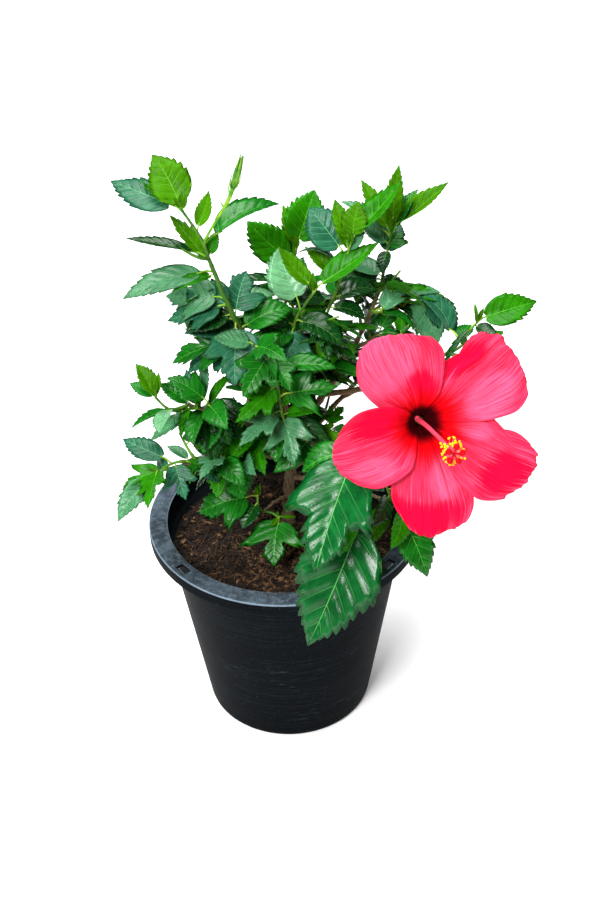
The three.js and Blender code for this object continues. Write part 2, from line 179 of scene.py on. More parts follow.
# Shoots that carry on from a bough: the share of the bough that they start at, then their
# points as offsets from the bough's tip, then their leaves. A leaf is
# (distance below the shoot's tip, azimuth, rise, reach, width, form, kind, tilt, fold, arch).
# A tilt of 0 turns the blade to the front of the plant, and of 90 edge-on to it.
SHOOTS = {
    "left_top": ("bough_left_top", 1, [(-3, -3, 15), (-10, -7, 32), (-17, -11, 47)], [
        (4, 126, 40, 48, 31, "oval", "light", 5, 10, 12),
        (5, 152, 12, 62, 26, "oval", "blue", 25, 6, 10),
        (7, 150, 28, 40, 10, "lance", "fresh", 40, 45, -25),
        (60, 149, 45, 50, 14, "lance", "light", 15, 40, 5),
        (25, 55, 58, 31, 12, "oval", "light", 10, 25, -15),
        (37, 30, 12, 66, 26, "oval", "green", 45, 32, 25),
        (50, 45, 58, 21, 10, "oval", "fresh", 0, 20, 10),
        (53, 162, 7, 66, 15, "oval", "dark", 50, 25, 8),
        (64, 193, -10, 70, 22, "broad", "pale", 25, 14, 12),
        (66, 208, -6, 36, 14, "oval", "fresh", 40, 20, 20),
        (91, 160, -6, 50, 32, "lobed", "pale", 20, 12, 14),
        (98, 184, -12, 48, 28, "lobed", "blue", 25, 15, 15),
        (100, 150, 18, 34, 26, "broad", "blue", 20, 20, 10),
        (112, 70, 42, 38, 33, "lobed", "blue", 0, 14, 10),
        (109, 196, -12, 38, 24, "oval", "dark", 30, 15, 15),
        (114, 266, -52, 50, 40, "lobed", "blue", 0, 10, 8),
        (114, 176, 2, 44, 16, "oval", "dark", 50, 15, 20),
        (126, 184, 2, 44, 22, "oval", "blue", 30, 20, 20),
        (131, 186, -18, 60, 34, "deep", "green", 30, 20, 25),
        (134, 192, -26, 52, 30, "lobed", "blue", 25, 15, 20),
        (124, 20, 10, 44, 26, "broad", "green", 30, 15, 25),
    ]),
    "middle_left": ("bough_middle", 0.72, [(-15, 8, -18), (-15, 16, 2), (-10, 24, 26), (-4, 30, 50)], [
        (16, 168, 46, 50, 29, "broad", "fresh", 0, 8, 6),
        (2, 51, 60, 47, 33, "broad", "fresh", 0, 26, 6),
        (2, 113, 50, 34, 14, "oval", "light", 10, 15, 10),
        (19, 104, 60, 50, 12, "lance", "light", 10, 30, 10),
        (32, 192, 10, 46, 15, "oval", "dark", 55, 25, 22),
        (38, 200, -8, 40, 18, "oval", "green", 40, 25, 25),
        (40, 60, 35, 34, 18, "oval", "green", 20, 20, 15),
        (46, 20, -8, 34, 20, "oval", "dark", 30, 20, 25),
        (52, 235, -25, 36, 22, "lobed", "green", 15, 15, 20),
    ]),
    "middle_front": ("bough_middle", 0.62, [(-8, 0, -4), (1, -3, 17), (8, -8, 31)], [
        (0, 154, 48, 44, 17, "oval", "light", 20, 35, -12),
        (0, 14, 34, 62, 24, "oval", "fresh", 35, 30, -10),
        (24, 118, 50, 52, 34, "broad", "silver_sheen", 5, 14, 10),
        (38, 168, 4, 40, 20, "oval", "dark", 30, 20, 25),
        (34, 330, -18, 44, 24, "oval", "dark", 30, 20, 30),
        (44, 215, -10, 34, 20, "oval", "green", 20, 25, 20),
        (40, 250, -40, 38, 30, "lobed", "blue", 5, 12, 12),
    ]),
    "middle_right": ("bough_middle", 0.62, [
        (4, 12, -36), (15, 17, -11), (26, 12, 22), (33, 7, 51), (37, 7, 66)], [
        (0, 60, 66, 30, 20, "oval", "light", 10, 12, 10),
        (0, 30, 40, 58, 24, "oval", "fresh", 40, 28, -12),
        (2, 124, 56, 36, 14, "oval", "light", 0, 18, 10),
        (8, 118, 62, 34, 14, "oval", "light", 15, 25, 10),
        (16, 140, 42, 48, 32, "broad", "blue", 5, 12, 12),
        (14, 52, 50, 30, 18, "oval", "pale", 20, 20, 10),
        (27, 164, 16, 38, 16, "oval", "dark", 70, 20, 45),
        (38, 148, 34, 38, 14, "oval", "light", 20, 20, 10),
        (56, 24, -6, 40, 20, "oval", "dark", 40, 20, 30),
        (66, 345, -16, 30, 16, "oval", "dark", 40, 20, 35),
    ]),
    "right_top": ("bough_right_top", 1, [(3, 4, 9), (6, 4, 30), (10, 4, 52)], [
        (0, 70, 70, 52, 15, "oval", "light", 8, 20, 4),
        (0, 14, 38, 58, 20, "oval", "light", 30, 45, -8),
        (4, 130, 46, 50, 15, "oval", "light", 10, 18, 14),
        (1, 40, 44, 40, 14, "oval", "green", 30, 20, 20),
        (6, 158, 30, 48, 14, "lance", "pale", 40, 20, 20),
        (17, 49, 30, 22, 19, "lobed", "green", 20, 15, 20),
        (17, 250, -45, 20, 12, "oval", "dark", 20, 20, 20),
        (13, 146, 30, 26, 17, "broad", "pale", 20, 20, 10),
        (22, 60, 40, 30, 20, "oval", "blue", 20, 15, 20),
        (41, 146, 6, 34, 20, "broad", "pale", 40, 15, 15),
        (44, 158, -4, 38, 22, "oval", "dark", 40, 15, 25),
        (48, 162, -14, 38, 20, "oval", "dark", 50, 15, 25),
        (52, 142, 0, 22, 14, "oval", "light", 30, 15, 10),
        (54, 30, -10, 30, 22, "oval", "dark", 30, 15, 25),
    ]),
    "right_tier": ("bough_right_top", 0.85, [(6, 8, -14), (22, 14, -10), (42, 14, -17)], [
        (37, 168, -18, 54, 22, "oval", "dark", 70, 25, 50),
        (37, 330, -26, 28, 20, "oval", "dark", 50, 25, 30),
        (36, 4, -10, 54, 22, "oval", "fresh", 50, 30, 22),
        (28, 10, -4, 38, 14, "oval", "pale", 40, 12, 15),
        (31, 60, 5, 22, 14, "oval", "dark", 30, 15, 20),
        (10, 300, -42, 42, 32, "broad", "pale", 10, 16, 10),
        (20, 236, -20, 20, 12, "oval", "yellow", 20, 15, 15),
        (4, 330, -36, 38, 26, "oval", "blue", 20, 15, 20),
    ]),
    "right_far": ("bough_right_far", 1, [(7, -3, 11), (23, -13, 38)], [
        (0, 14, 12, 50, 25, "oval", "fresh", 10, 14, 12),
        (2, 218, -38, 45, 10, "lance", "dark", 60, 35, 10),
        (6, 327, -10, 22, 12, "oval", "dark", 20, 15, 10),
        (26, 140, 20, 56, 22, "oval", "blue", 50, 20, 50),
        (30, 60, 5, 26, 14, "oval", "green", 30, 15, 20),
    ]),
    "centre": ("trunk", 0.8, [(-6, -20, 12), (-9, -38, 32), (-12, -40, 62), (-16, -38, 90)], [
        (59, 284, -40, 42, 29, "deep", "pale", 0, 24, 14),
        (54, 227, -10, 50, 22, "lobed", "pale", 25, 24, 16),
        (62, 335, -20, 26, 11, "oval", "fresh", 20, 20, 15),
        (59, 337, 20, 34, 12, "oval", "fresh", 30, 20, 15),
        (72, 335, -20, 44, 20, "oval", "dark", 20, 15, 20),
        (29, 223, -15, 47, 22, "lobed", "fresh", 10, 16, 12),
        (49, 113, 50, 16, 8, "oval", "light", 0, 25, 10),
        (49, 20, 50, 17, 8, "oval", "fresh", 0, 25, 10),
        (51, 70, 60, 15, 7, "oval", "light", 0, 25, 10),
        (0, 232, -30, 42, 31, "lobed", "green", 0, 14, 10),
        (8, 300, -30, 30, 20, "lobed", "green", 20, 25, 20),
        (39, 0, 10, 46, 28, "deep", "green", 15, 15, 15),
        (13, 356, 0, 48, 18, "oval", "green", 35, 20, 20),
        (66, 255, -45, 36, 18, "lance", "green", 20, 20, 15),
        (20, 150, 20, 34, 20, "oval", "dark", 30, 20, 20),
    ]),
    "left_side": ("bough_left_side", 1, [(-9, -4, -3), (-17, -8, 4), (-24, -10, 15)], [
        (2, 132, 42, 31, 17, "oval", "light", 20, 40, 8),
        (2, 150, 14, 25, 13, "oval", "green", 30, 15, 15),
        (2, 95, 55, 20, 7, "lance", "light", 0, 35, 10),
        (2, 75, 60, 20, 6, "lance", "light", 0, 35, 10),
        (39, 160, 30, 31, 18, "oval", "green", 30, 30, 8),
        (44, 147, 50, 26, 8, "lance", "fresh", 10, 30, 8),
        (20, 174, -30, 39, 10, "lance", "green", 50, 25, 12),
        (50, 184, -32, 52, 14, "lance", "pale", 40, 25, 15),
        (38, 244, -50, 26, 9, "oval", "fresh", 30, 20, 15),
        (46, 68, 60, 37, 11, "oval", "pale", 20, 15, 10),
        (46, 122, 55, 32, 15, "oval", "blue", 10, 15, 10),
        (55, 30, 45, 38, 13, "oval", "fresh", 50, 25, 22),
        (55, 354, 0, 32, 18, "broad", "dark", 20, 15, 20),
        (60, 300, -35, 30, 18, "oval", "dark", 20, 15, 20),
        (64, 250, -30, 36, 22, "broad", "green", 15, 15, 15),
        (91, 238, -45, 50, 22, "lobed", "fresh", 5, 18, 12),
        (118, 215, -30, 40, 28, "broad", "green", 10, 12, 15),
        (55, 279, -50, 46, 16, "oval", "dark", 25, 20, 12),
    ]),
    "left_low": ("bough_left_low", 0.8, [(2, 0, 5), (-9, -2, 1), (-17, -4, -6)], [
        (18, 147, 8, 48, 19, "oval", "blue", 25, 10, 10),
        (5, 223, -30, 50, 20, "oval", "pale", 15, 20, 22),
        (20, 295, -50, 31, 20, "deep", "blue", 0, 12, 12),
        (6, 229, -52, 26, 8, "lance", "green", 30, 30, 15),
        (34, 143, 12, 24, 10, "oval", "pale", 40, 15, 15),
        (38, 350, -45, 28, 16, "oval", "blue", 30, 25, 20),
        (30, 342, -22, 26, 11, "oval", "fresh", 60, 20, 20),
        (46, 215, -22, 24, 14, "oval", "green", 40, 20, 25),
        (66, 262, -40, 34, 16, "lance", "fresh", 10, 18, 15),
        (76, 290, -50, 36, 28, "broad", "green", 10, 14, 15),
        (70, 280, -58, 30, 16, "oval", "light", 10, 18, 15),
        (54, 120, 20, 30, 16, "oval", "dark", 30, 18, 20),
    ]),
    "front": ("bough_front", 1, [(3, -8, 4)], [
        (0, 242, -43, 95, 60, "great_lobed", "glossy", 20, 22, 8),
        (12, 190, -20, 40, 24, "oval", "green", 30, 20, 25),
        (24, 330, -35, 44, 26, "oval", "dark", 20, 15, 20),
    ]),
    "front_low": ("bough_front", 0.85, [(6, -6, -24), (8, -17, -55)], [
        (0, 226, -53, 107, 66, "great", "glossy", 5, 26, 6),
        (14, 200, -50, 64, 24, "oval", "fresh", 5, 15, 20),
    ]),
    "low_right": ("bough_low_right", 1, [(4, -4, 2)], [
        (5, 308, -52, 62, 30, "oval", "green", 10, 14, 20),
        (10, 220, -45, 40, 20, "oval", "light", 30, 25, 20),
        (16, 10, -20, 36, 22, "oval", "green", 30, 15, 20),
    ]),
    "low_front": ("bough_low_front", 1, [(-4, -2, 8), (-4, 0, 17)], [
        (0, 182, -18, 52, 36, "lobed", "green", 15, 14, 24),
        (6, 235, -30, 26, 18, "oval", "dark", 30, 14, 20),
    ]),
    "low_front_right": ("bough_low_front", 1, [(7, -4, 2), (13, -8, 0)], [
        (0, 262, -38, 42, 36, "deep", "green", 10, 10, 14),
    ]),
}

# Side twigs that the rule adds to the rest of each bough: first and last share of the bough,
# number of twigs, their length, leaves on each, and the leaves' length on old and young wood.
TWIGS = {
    "bough_back_left": (0.3, 1.0, 7, 34, 7, 46, 30),
    "bough_back": (0.3, 1.0, 8, 36, 7, 46, 30),
    "bough_back_right": (0.3, 1.0, 7, 36, 7, 46, 32),
    "bough_right_far": (0.35, 0.95, 3, 26, 5, 40, 30),
    "bough_right_top": (0.3, 0.85, 5, 26, 5, 42, 32),
    "bough_middle": (0.2, 0.8, 7, 28, 6, 44, 32),
    "bough_left_top": (0.15, 0.58, 5, 28, 5, 44, 34),
    "bough_left_side": (0.3, 0.8, 4, 24, 5, 42, 30),
    "bough_left_low": (0.3, 0.8, 5, 24, 5, 42, 30),
    "bough_front": (0.3, 0.85, 4, 24, 5, 44, 32),
    "bough_bloom": (0.25, 0.8, 5, 26, 5, 44, 32),
    "bough_low_right": (0.4, 0.9, 2, 20, 4, 38, 28),
}

MASSES = [name for name in sorted(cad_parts) if name.startswith("leaves_")]
BOUGHS = ("left_top", "middle", "right_top", "right_far", "left_side", "left_low", "bloom", "front",
          "low_right", "low_front", "back_left", "back", "back_right")
# What each limb grows on. Each parent stands before the limbs that grow on it.
PARENTS = {"trunk": None, **{f"bough_{name}": "trunk" for name in BOUGHS}, "bud_stalk": "bough_left_top"}
PARENTS["bough_right_far"] = "bough_right_top"


# ---------------------------------------------------------------- finishes

class Field:
    """One output of a node. Arithmetic on it adds Math nodes."""

    def __init__(self, finish, node, socket):
        self.finish = finish
        self.node = node
        self.socket = socket

    def output(self, name):
        return Field(self.finish, self.node, self.node.outputs[name])

    def maths(self, operation, *operands):
        return self.finish.node("ShaderNodeMath", {"operation": operation}, dict(enumerate(operands)))

    def __add__(self, other):
        return self.maths("ADD", self, other)

    __radd__ = __add__

    def __sub__(self, other):
        return self.maths("SUBTRACT", self, other)

    def __rsub__(self, other):
        return self.maths("SUBTRACT", other, self)

    def __mul__(self, other):
        return self.maths("MULTIPLY", self, other)

    __rmul__ = __mul__

    def __truediv__(self, other):
        return self.maths("DIVIDE", self, other)

    def __pow__(self, power):
        return self.maths("POWER", self, power)

    def size(self):
        return self.maths("ABSOLUTE", self)

    def least(self, limit):
        return self.maths("MINIMUM", self, limit)

    def to_and_fro(self, reach):
        """Runs up from 0 to the reach and back again, over and over."""
        return self.maths("PINGPONG", self, reach)

    def between(self, low, high):
        """0 under low, 1 over high and smooth in between."""
        settings = {"interpolation_type": "SMOOTHSTEP"}
        return self.finish.node("ShaderNodeMapRange", settings, {
            "Value": self, "From Min": low, "From Max": high,
        })


class Finish:
    """A material made of one Principled shader and the nodes that feed it."""

    def __init__(self, name, **constants):
        self.material = bpy.data.materials.new(name)
        self.material.use_nodes = True
        self.tree = self.material.node_tree
        self.shader = self.tree.nodes["Principled BSDF"]
        self.feed(**constants)

    def feed(self, **sockets):
        """Sets or links the shader's sockets, named in lower case with underscores."""
        for name, value in sockets.items():
            self.connect(value, self.shader.inputs[name.replace("_", " ").title().replace("Ior", "IOR")])

    def connect(self, value, socket):
        if isinstance(value, Field):
            self.tree.links.new(value.socket, socket)
        elif socket.type == "RGBA":
            socket.default_value = (*value, 1.0)
        else:
            socket.default_value = value

    def node(self, kind, settings=None, sockets=None):
        """Adds a node: its type, its settings, then the values or links of its sockets."""
        node = self.tree.nodes.new(kind)
        for key, value in (settings or {}).items():
            setattr(node, key, value)
        for key, value in (sockets or {}).items():
            self.connect(value, node.inputs[key])
        return Field(self, node, node.outputs[0])

    def place(self):
        return self.node("ShaderNodeTexCoord").output("Object")

    def spread(self):
        return self.node("ShaderNodeTexCoord").output("UV")

    def parts(self, vector):
        """X, Y and Z of a vector."""
        split = self.node("ShaderNodeSeparateXYZ", None, {"Vector": vector})
        return [split.output(axis) for axis in "XYZ"]

    def drawn_noise(self, vector, scale, detail=3.0, roughness=0.6):
        """Noise that has its own scale along each axis."""
        settings = {"operation": "MULTIPLY"}
        scaled = self.node("ShaderNodeVectorMath", settings, {0: vector, 1: scale})
        return self.noise(1.0, detail, roughness, scaled)

    def noise(self, scale, detail=3.0, roughness=0.55, vector=None):
        return self.node("ShaderNodeTexNoise", None, {
            "Vector": vector or self.place(), "Scale": scale, "Detail": detail,
            "Roughness": roughness,
        })

    def mix(self, factor, first, second):
        node = self.node("ShaderNodeMix", {"data_type": "RGBA"}, {0: factor, 6: first, 7: second})
        return Field(self, node.node, node.node.outputs[2])

    def layers(self, colour, *layers):
        """Lays colours over the first one. Each layer is how much it covers, and its colour."""
        for cover, over in layers:
            colour = self.mix(cover, colour, over)
        return colour

    def bump(self, height, strength, distance):
        return self.node("ShaderNodeBump", None, {
            "Height": height, "Strength": strength, "Distance": distance,
        })


def tint(colour, factor):
    return tuple(min(1.0, c * factor) for c in colour)


def pot_plastic(settings):
    """Black injection-moulded plastic, finely lined round the wall. Dust and a painted sky sheen lie on
    its rim's level top, and a painted highlight on the rim's rounded edges.
    """
    finish = Finish("pot_plastic", specular_ior_level=0.015)
    place = finish.place()
    facing = finish.node("ShaderNodeNewGeometry").output("Normal")
    level, high = finish.parts(facing)[2], finish.parts(place)[2]
    top = level.between(0.5, 0.95) * high.between((pot_height() - 2) * MM, (pot_height() - 1) * MM)
    # The rim's rounded edges, where a painted highlight goes.
    edge = level.between(0.10, 0.35) * (1 - level.between(0.80, 0.97))
    lines = finish.drawn_noise(place, (7.0, 7.0, 900.0), 2.0)
    scratches = finish.drawn_noise(place, (50.0, 50.0, 560.0), 5.0, 0.75)
    scuffs = finish.drawn_noise(place, (16.0, 16.0, 22.0))
    specks = finish.noise(900.0, 2.0, 0.7)
    cloud = finish.noise(26.0, 5.0, 0.65)
    grit = finish.noise(170.0, 5.0, 0.75)
    # Dust and a painted sky sheen on the rim's level top.
    dust_and_sheen = top * (0.30 + 0.45 * cloud.between(0.35, 0.7) + 0.65 * grit.between(0.44, 0.64))
    pale = scratches.between(0.56, 0.72) * scuffs.between(0.46, 0.66) * 0.55
    pale = pale + lines.between(0.52, 0.72) * 0.07 + specks.between(0.66, 0.72) * 0.5
    dust_sheen_and_scuffs = (dust_and_sheen + pale).least(1.0)
    finish.feed(
        base_color=finish.layers(
            settings.plastic,
            (cloud, tint(settings.plastic, 1.7)),
            (dust_sheen_and_scuffs, settings.dust_and_sheen),
            # Painted highlight on the rim's rounded edges, where light catches them.
            (edge * (0.3 + 0.7 * grit), tint(settings.dust_and_sheen, 3.2)),
        ),
        roughness=0.50 + 0.15 * cloud,
        normal=finish.bump(lines * 0.7 + specks * 0.3, 0.25, 0.0004),
    )
    return finish.material


def crumb_finish(name, dark, light, scale):
    finish = Finish(name, specular_ior_level=0.25)
    grain = finish.noise(scale, 4.0, 0.7)
    patches = finish.noise(130.0, 2.0, 0.6)
    finish.feed(
        base_color=finish.mix((0.5 * grain + 0.5 * patches).between(0.38, 0.62), dark, light),
        roughness=0.86 + 0.1 * grain,
        normal=finish.bump(grain, 0.6, 0.0006),
    )
    return finish.material


def bark_finish(settings):
    """Grey-brown bark with pale flecks, turning green on the young wood of the crown."""
    finish = Finish("bark", specular_ior_level=0.15)
    place = finish.place()
    height = finish.parts(place)[2]
    streaks = finish.drawn_noise(place, (420.0, 420.0, 90.0), 4.0, 0.65)
    flecks = finish.noise(700.0, 2.0, 0.5)
    young = (height + 0.05 * finish.noise(30.0)).between(0.375, 0.43)
    finish.feed(
        base_color=finish.layers(
            tint(settings.bark, 0.45),
            (streaks.between(0.3, 0.7), settings.bark),
            (flecks.between(0.62, 0.7) * 0.6, tint(settings.bark, 2.2)),
            (young, settings.green_wood),
        ),
        roughness=0.78 - 0.28 * young,
        normal=finish.bump(streaks, 0.5, 0.0008),
    )
    return finish.material


def stem_finish(name, colour, second):
    finish = Finish(name, specular_ior_level=0.18)
    blush = finish.noise(60.0, 3.0, 0.6)
    finish.feed(
        base_color=finish.mix(blush.between(0.4, 0.62), colour, second),
        roughness=0.42 + 0.1 * blush,
        normal=finish.bump(finish.noise(1500.0, 2.0), 0.2, 0.0003),
    )
    return finish.material


def leaf_finish(name, colour, roughness, specular):
    """A leaf's skin: quilted between its side veins, with painted shade along them, a waxy gloss and a
    paler margin.

    On a blade's own spread the first number runs from 0 on the midrib to 1 on a margin, and the
    second one counts the side veins."""
    finish = Finish(name, specular_ior_level=specular)
    across, veins, _ = finish.parts(finish.spread())
    cloud = finish.noise(70.0, 3.0, 0.6)
    grain = finish.noise(520.0, 3.0, 0.6)
    streaks = finish.drawn_noise(finish.spread(), (3.0, 7.0, 1.0))
    from_vein = veins.to_and_fro(0.5)
    pillow = from_vein.between(0.02, 0.42)
    vein = 1 - (from_vein + 0.05 * (grain - 0.5)).between(0.02, 0.09)
    margin = (across + 0.03 * (grain - 0.5)).between(0.965, 1.0)
    finish.feed(
        base_color=finish.layers(
            tint(colour, 0.62),
            ((0.5 * cloud + 0.5 * streaks).between(0.36, 0.64), tint(colour, 1.32)),
            # Painted shade: darker in the grooves next to the side veins.
            ((1 - pillow) * 0.30, tint(colour, 0.45)),
            (vein * 0.35, tint(colour, 1.7)),
            (margin * 0.6, tint(colour, 2.2)),
            (grain.between(0.52, 0.72) * 0.22, tint(colour, 1.8)),
        ),
        roughness=roughness + 0.09 * cloud,
        normal=finish.bump(pillow * 0.4 + streaks * 0.45 + grain * 0.35, 0.45, 0.0008),
    )
    return finish.material


def petal_finish(settings, number):
    """Red near the throat, hot pink further out, with fine veins that fan out from the claw.

    Each petal has a pale patch of painted sheen and a deep patch of painted shadow, at places given in
    its own spread."""
    finish = Finish(f"petal_{number}", specular_ior_level=0.04, subsurface_weight=0.15,
                    subsurface_radius=(1.0, 0.08, 0.10), subsurface_scale=0.002)
    spread = finish.spread()
    across, out, _ = finish.parts(spread)
    fan = finish.drawn_noise(spread, (40.0, 1.3, 1.0))
    fine = finish.drawn_noise(spread, (150.0, 2.0, 1.0), 2.0, 0.5)
    cloud = finish.noise(34.0, 4.0, 0.6)

    def lines(count, drift, width):
        """Thin lines that run out from the claw: 1 on a line and 0 beside it."""
        field = finish.drawn_noise(spread, (count, drift, 1.0), 1.0, 0.5)
        return 1 - (field - 0.5).size().between(0.0, width)

    def patch(x, y, wide, long):
        """1 in the middle of an oval place and 0 outside it, with a ragged edge."""
        from_middle = ((across - x) / wide) ** 2 + ((out - y) / long) ** 2
        return 1 - (from_middle + 1.5 * (cloud - 0.5) + 2.4 * (fan - 0.5)).between(0.35, 1.45)

    sheen_place, shadow_place = PETAL_SHEEN_AND_SHADOW[number]
    reach = out + 0.34 * (fan - 0.5) + 0.10 * (fine - 0.5)
    # Painted sheen in the pale patch and painted shadow in the deep patch; the rest of the paleness is
    # even tone, pale veins and cloud.
    pale = 0.32 + 0.38 * patch(*sheen_place) + 0.42 * (fan.between(0.48, 0.62) * out)
    pale = (pale + 0.35 * (cloud - 0.5)) * (1 - 0.9 * patch(*shadow_place))
    finish.feed(
        base_color=finish.layers(
            settings.petal,
            (pale.between(0.0, 1.0), settings.petal_pale_and_sheen),
            (lines(30.0, 1.1, 0.035) * 0.40, settings.petal),
            (fine.between(0.52, 0.60) * 0.55, tint(settings.petal, 0.8)),
            (lines(75.0, 1.6, 0.03) * pale.between(0.1, 0.8) * 0.3, tint(settings.petal_pale_and_sheen, 1.5)),
            (1 - reach.between(0.20, 0.44), settings.petal_red),
            (1 - (out + 0.12 * (fan - 0.5)).between(0.09, 0.19), settings.throat),
        ),
        roughness=0.58 + 0.12 * fan,
        normal=finish.bump(fine * 0.4 + fan * 0.7, 0.9, 0.0012),
    )
    return finish.material


def plain_finish(name, colour, second, scale, roughness=0.5, bumps=0.2, gloss=0.15):
    finish = Finish(name, specular_ior_level=gloss)
    grain = finish.noise(scale, 3.0, 0.6)
    finish.feed(
        base_color=finish.mix(grain.between(0.35, 0.65), colour, second),
        roughness=roughness,
        normal=finish.bump(grain, bumps, 0.0004),
    )
    return finish.material


# ---------------------------------------------------------------- mesh tools

def unit(vector):
    return vector / max(np.linalg.norm(vector), 1e-9)


def on_circle(radius, angle, height=0.0):
    return radius * math.cos(angle), radius * math.sin(angle), height


def bearing(vector):
    """The azimuth that a vector points to, in degrees."""
    return math.degrees(math.atan2(vector[1], vector[0]))


def slope(direction):
    """How steeply a unit vector rises, in degrees."""
    return math.degrees(math.asin(np.clip(direction[2], -1, 1)))


def wave(*place):
    """Smooth noise at a place, between -1 and 1."""
    return noise.noise(Vector(place))


def linked_object(name, data):
    thing = bpy.data.objects.new(name, data)
    bpy.context.scene.collection.objects.link(thing)
    return thing


def taken_from(maker):
    """Points and faces of a bmesh, which is freed."""
    maker.verts.index_update()
    points = np.array([v.co for v in maker.verts])
    faces = [tuple(v.index for v in f.verts) for f in maker.faces]
    maker.free()
    return points, faces


def heading(azimuth, rise):
    a, r = math.radians(azimuth), math.radians(rise)
    return np.array([math.cos(a) * math.cos(r), math.sin(a) * math.cos(r), math.sin(r)])


def blade_frame(direction, roll=0.0, toward=UP):
    """Side, along and normal of a blade that points along direction and faces toward.

    A positive roll turns the blade's face to the sky."""
    along = unit(direction)
    normal = toward - (toward @ along) * along
    if np.linalg.norm(normal) < 0.05:
        normal = np.array([0.0, -1.0, 0.0]) - (-along[1]) * along
    normal = unit(normal)
    skyward = np.cross(along, normal)
    skyward = skyward if skyward[2] >= 0 else -skyward
    angle = math.radians(roll)
    normal = normal * math.cos(angle) + skyward * math.sin(angle)
    return np.column_stack([np.cross(along, normal), along, normal])


class Heap:
    """Gathers the faces of many small things that become one joined piece."""

    def __init__(self):
        self.points = []
        self.faces = []
        self.finishes = []
        self.count = 0
        self.masses = set()
        self.spread = []

    def add(self, points, faces, finish=0):
        self.points.append(points)
        offset = self.count
        self.faces.extend([tuple(i + offset for i in face) for face in faces])
        self.finishes.extend([finish] * len(faces))
        self.count += len(points)


def make_piece(name, points, faces, materials, nodes=(), finishes=None, uv=None, smooth=True):
    """Makes a mesh object from its points and faces, and hides the frame's nodes that it stands for."""
    mesh = bpy.data.meshes.new(name)
    mesh.from_pydata(np.asarray(points).tolist(), [], [tuple(int(i) for i in f) for f in faces])
    for material in materials:
        mesh.materials.append(material)
    if finishes is not None:
        mesh.polygons.foreach_set("material_index", finishes)
    mesh.polygons.foreach_set("use_smooth", [smooth] * len(mesh.polygons))
    if uv is not None:
        corners = np.empty(len(mesh.loops), dtype=int)
        mesh.loops.foreach_get("vertex_index", corners)
        layer = mesh.uv_layers.new(name="spread")
        layer.data.foreach_set("uv", np.asarray(uv)[corners].ravel())
    mesh.update()
    piece = linked_object(name, mesh)
    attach(piece, "root")
    if nodes:
        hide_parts(*nodes)
    return piece


def heap_piece(name, heap, materials, nodes=(), smooth=True):
    points = np.concatenate(heap.points)
    spread = np.concatenate(heap.spread) if heap.spread else None
    make_piece(name, points, heap.faces, materials, nodes, heap.finishes, spread, smooth)


def frames_along(line):
    """Tangent, side and normal at each point of a line, turned as little as possible."""
    tangents = np.gradient(line, axis=0)
    tangents /= np.linalg.norm(tangents, axis=1)[:, None]
    start = np.cross(tangents[0], [0.31, 0.9, 0.17])
    sides = [unit(start)]
    for tangent in tangents[1:]:
        side = sides[-1] - (sides[-1] @ tangent) * tangent
        sides.append(unit(side))
    sides = np.array(sides)
    return tangents, sides, np.cross(tangents, sides)


def tube(line, radii, sides=6, relief=None, point=True):
    """A closed tube along a line. `relief` scales the radius at each ring and side."""
    line = np.asarray(line, float)
    tangents, across, normal = frames_along(line)
    angles = np.arange(sides) * 2 * math.pi / sides
    radii = np.broadcast_to(np.asarray(radii, float), (len(line),))
    size = radii[:, None] * (np.ones((len(line), sides)) if relief is None else relief)
    rings = (line[:, None, :]
             + (size * np.cos(angles))[:, :, None] * across[:, None, :]
             + (size * np.sin(angles))[:, :, None] * normal[:, None, :])
    points = rings.reshape(-1, 3)
    faces = []
    for ring in range(len(line) - 1):
        for side in range(sides):
            a = ring * sides + side
            b = ring * sides + (side + 1) % sides
            faces.append((a, b, b + sides, a + sides))
    last = (len(line) - 1) * sides
    reach = radii[-1] if point else 0.0
    ends = np.array([line[0], line[-1] + tangents[-1] * reach])
    points = np.concatenate([points, ends])
    foot, tip = len(points) - 2, len(points) - 1
    for side in range(sides):
        faces.append((foot, (side + 1) % sides, side))
        faces.append((tip, last + side, last + (side + 1) % sides))
    return points, faces


def smooth_line(points, count):
    """An even line of that many points through the given ones (Catmull-Rom)."""
    points = np.asarray(points, float)
    padded = np.concatenate([[2 * points[0] - points[1]], points, [2 * points[-1] - points[-2]]])
    share = np.linspace(0, 1, 14)[:, None]
    pieces = []
    for i in range(len(points) - 1):
        a, b, c, d = padded[i:i + 4]
        pieces.append(0.5 * (2 * b + (c - a) * share + (2 * a - 5 * b + 4 * c - d) * share ** 2
                             + (3 * b - a - 3 * c + d) * share ** 3))
    return even_line(np.concatenate(pieces), count)


def distances(line):
    """How far along a line each of its points lies."""
    return np.concatenate([[0], np.cumsum(np.linalg.norm(np.diff(line, axis=0), axis=1))])


def sample(wanted, along, line):
    """The line's coordinates at the wanted distances, where its points lie at `along`."""
    return np.stack([np.interp(wanted, along, line[:, k]) for k in range(3)], axis=-1)


def even_line(line, count):
    along = distances(line)
    return sample(np.linspace(0, along[-1], count), along, line)


def length_of(line):
    return float(np.linalg.norm(np.diff(line, axis=0), axis=1).sum())


def cad_points(name):
    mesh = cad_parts[name].data
    points = np.empty(len(mesh.vertices) * 3)
    mesh.vertices.foreach_get("co", points)
    return points.reshape(-1, 3)


# ---------------------------------------------------------------- pot and soil

def wall_radius(z):
    neck = pot_height() - POT["band_height"]
    return POT["base_radius"] + (POT["neck_radius"] - POT["base_radius"]) * min(z / neck, 1)


def pot_height():
    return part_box("pot")[1].z / MM


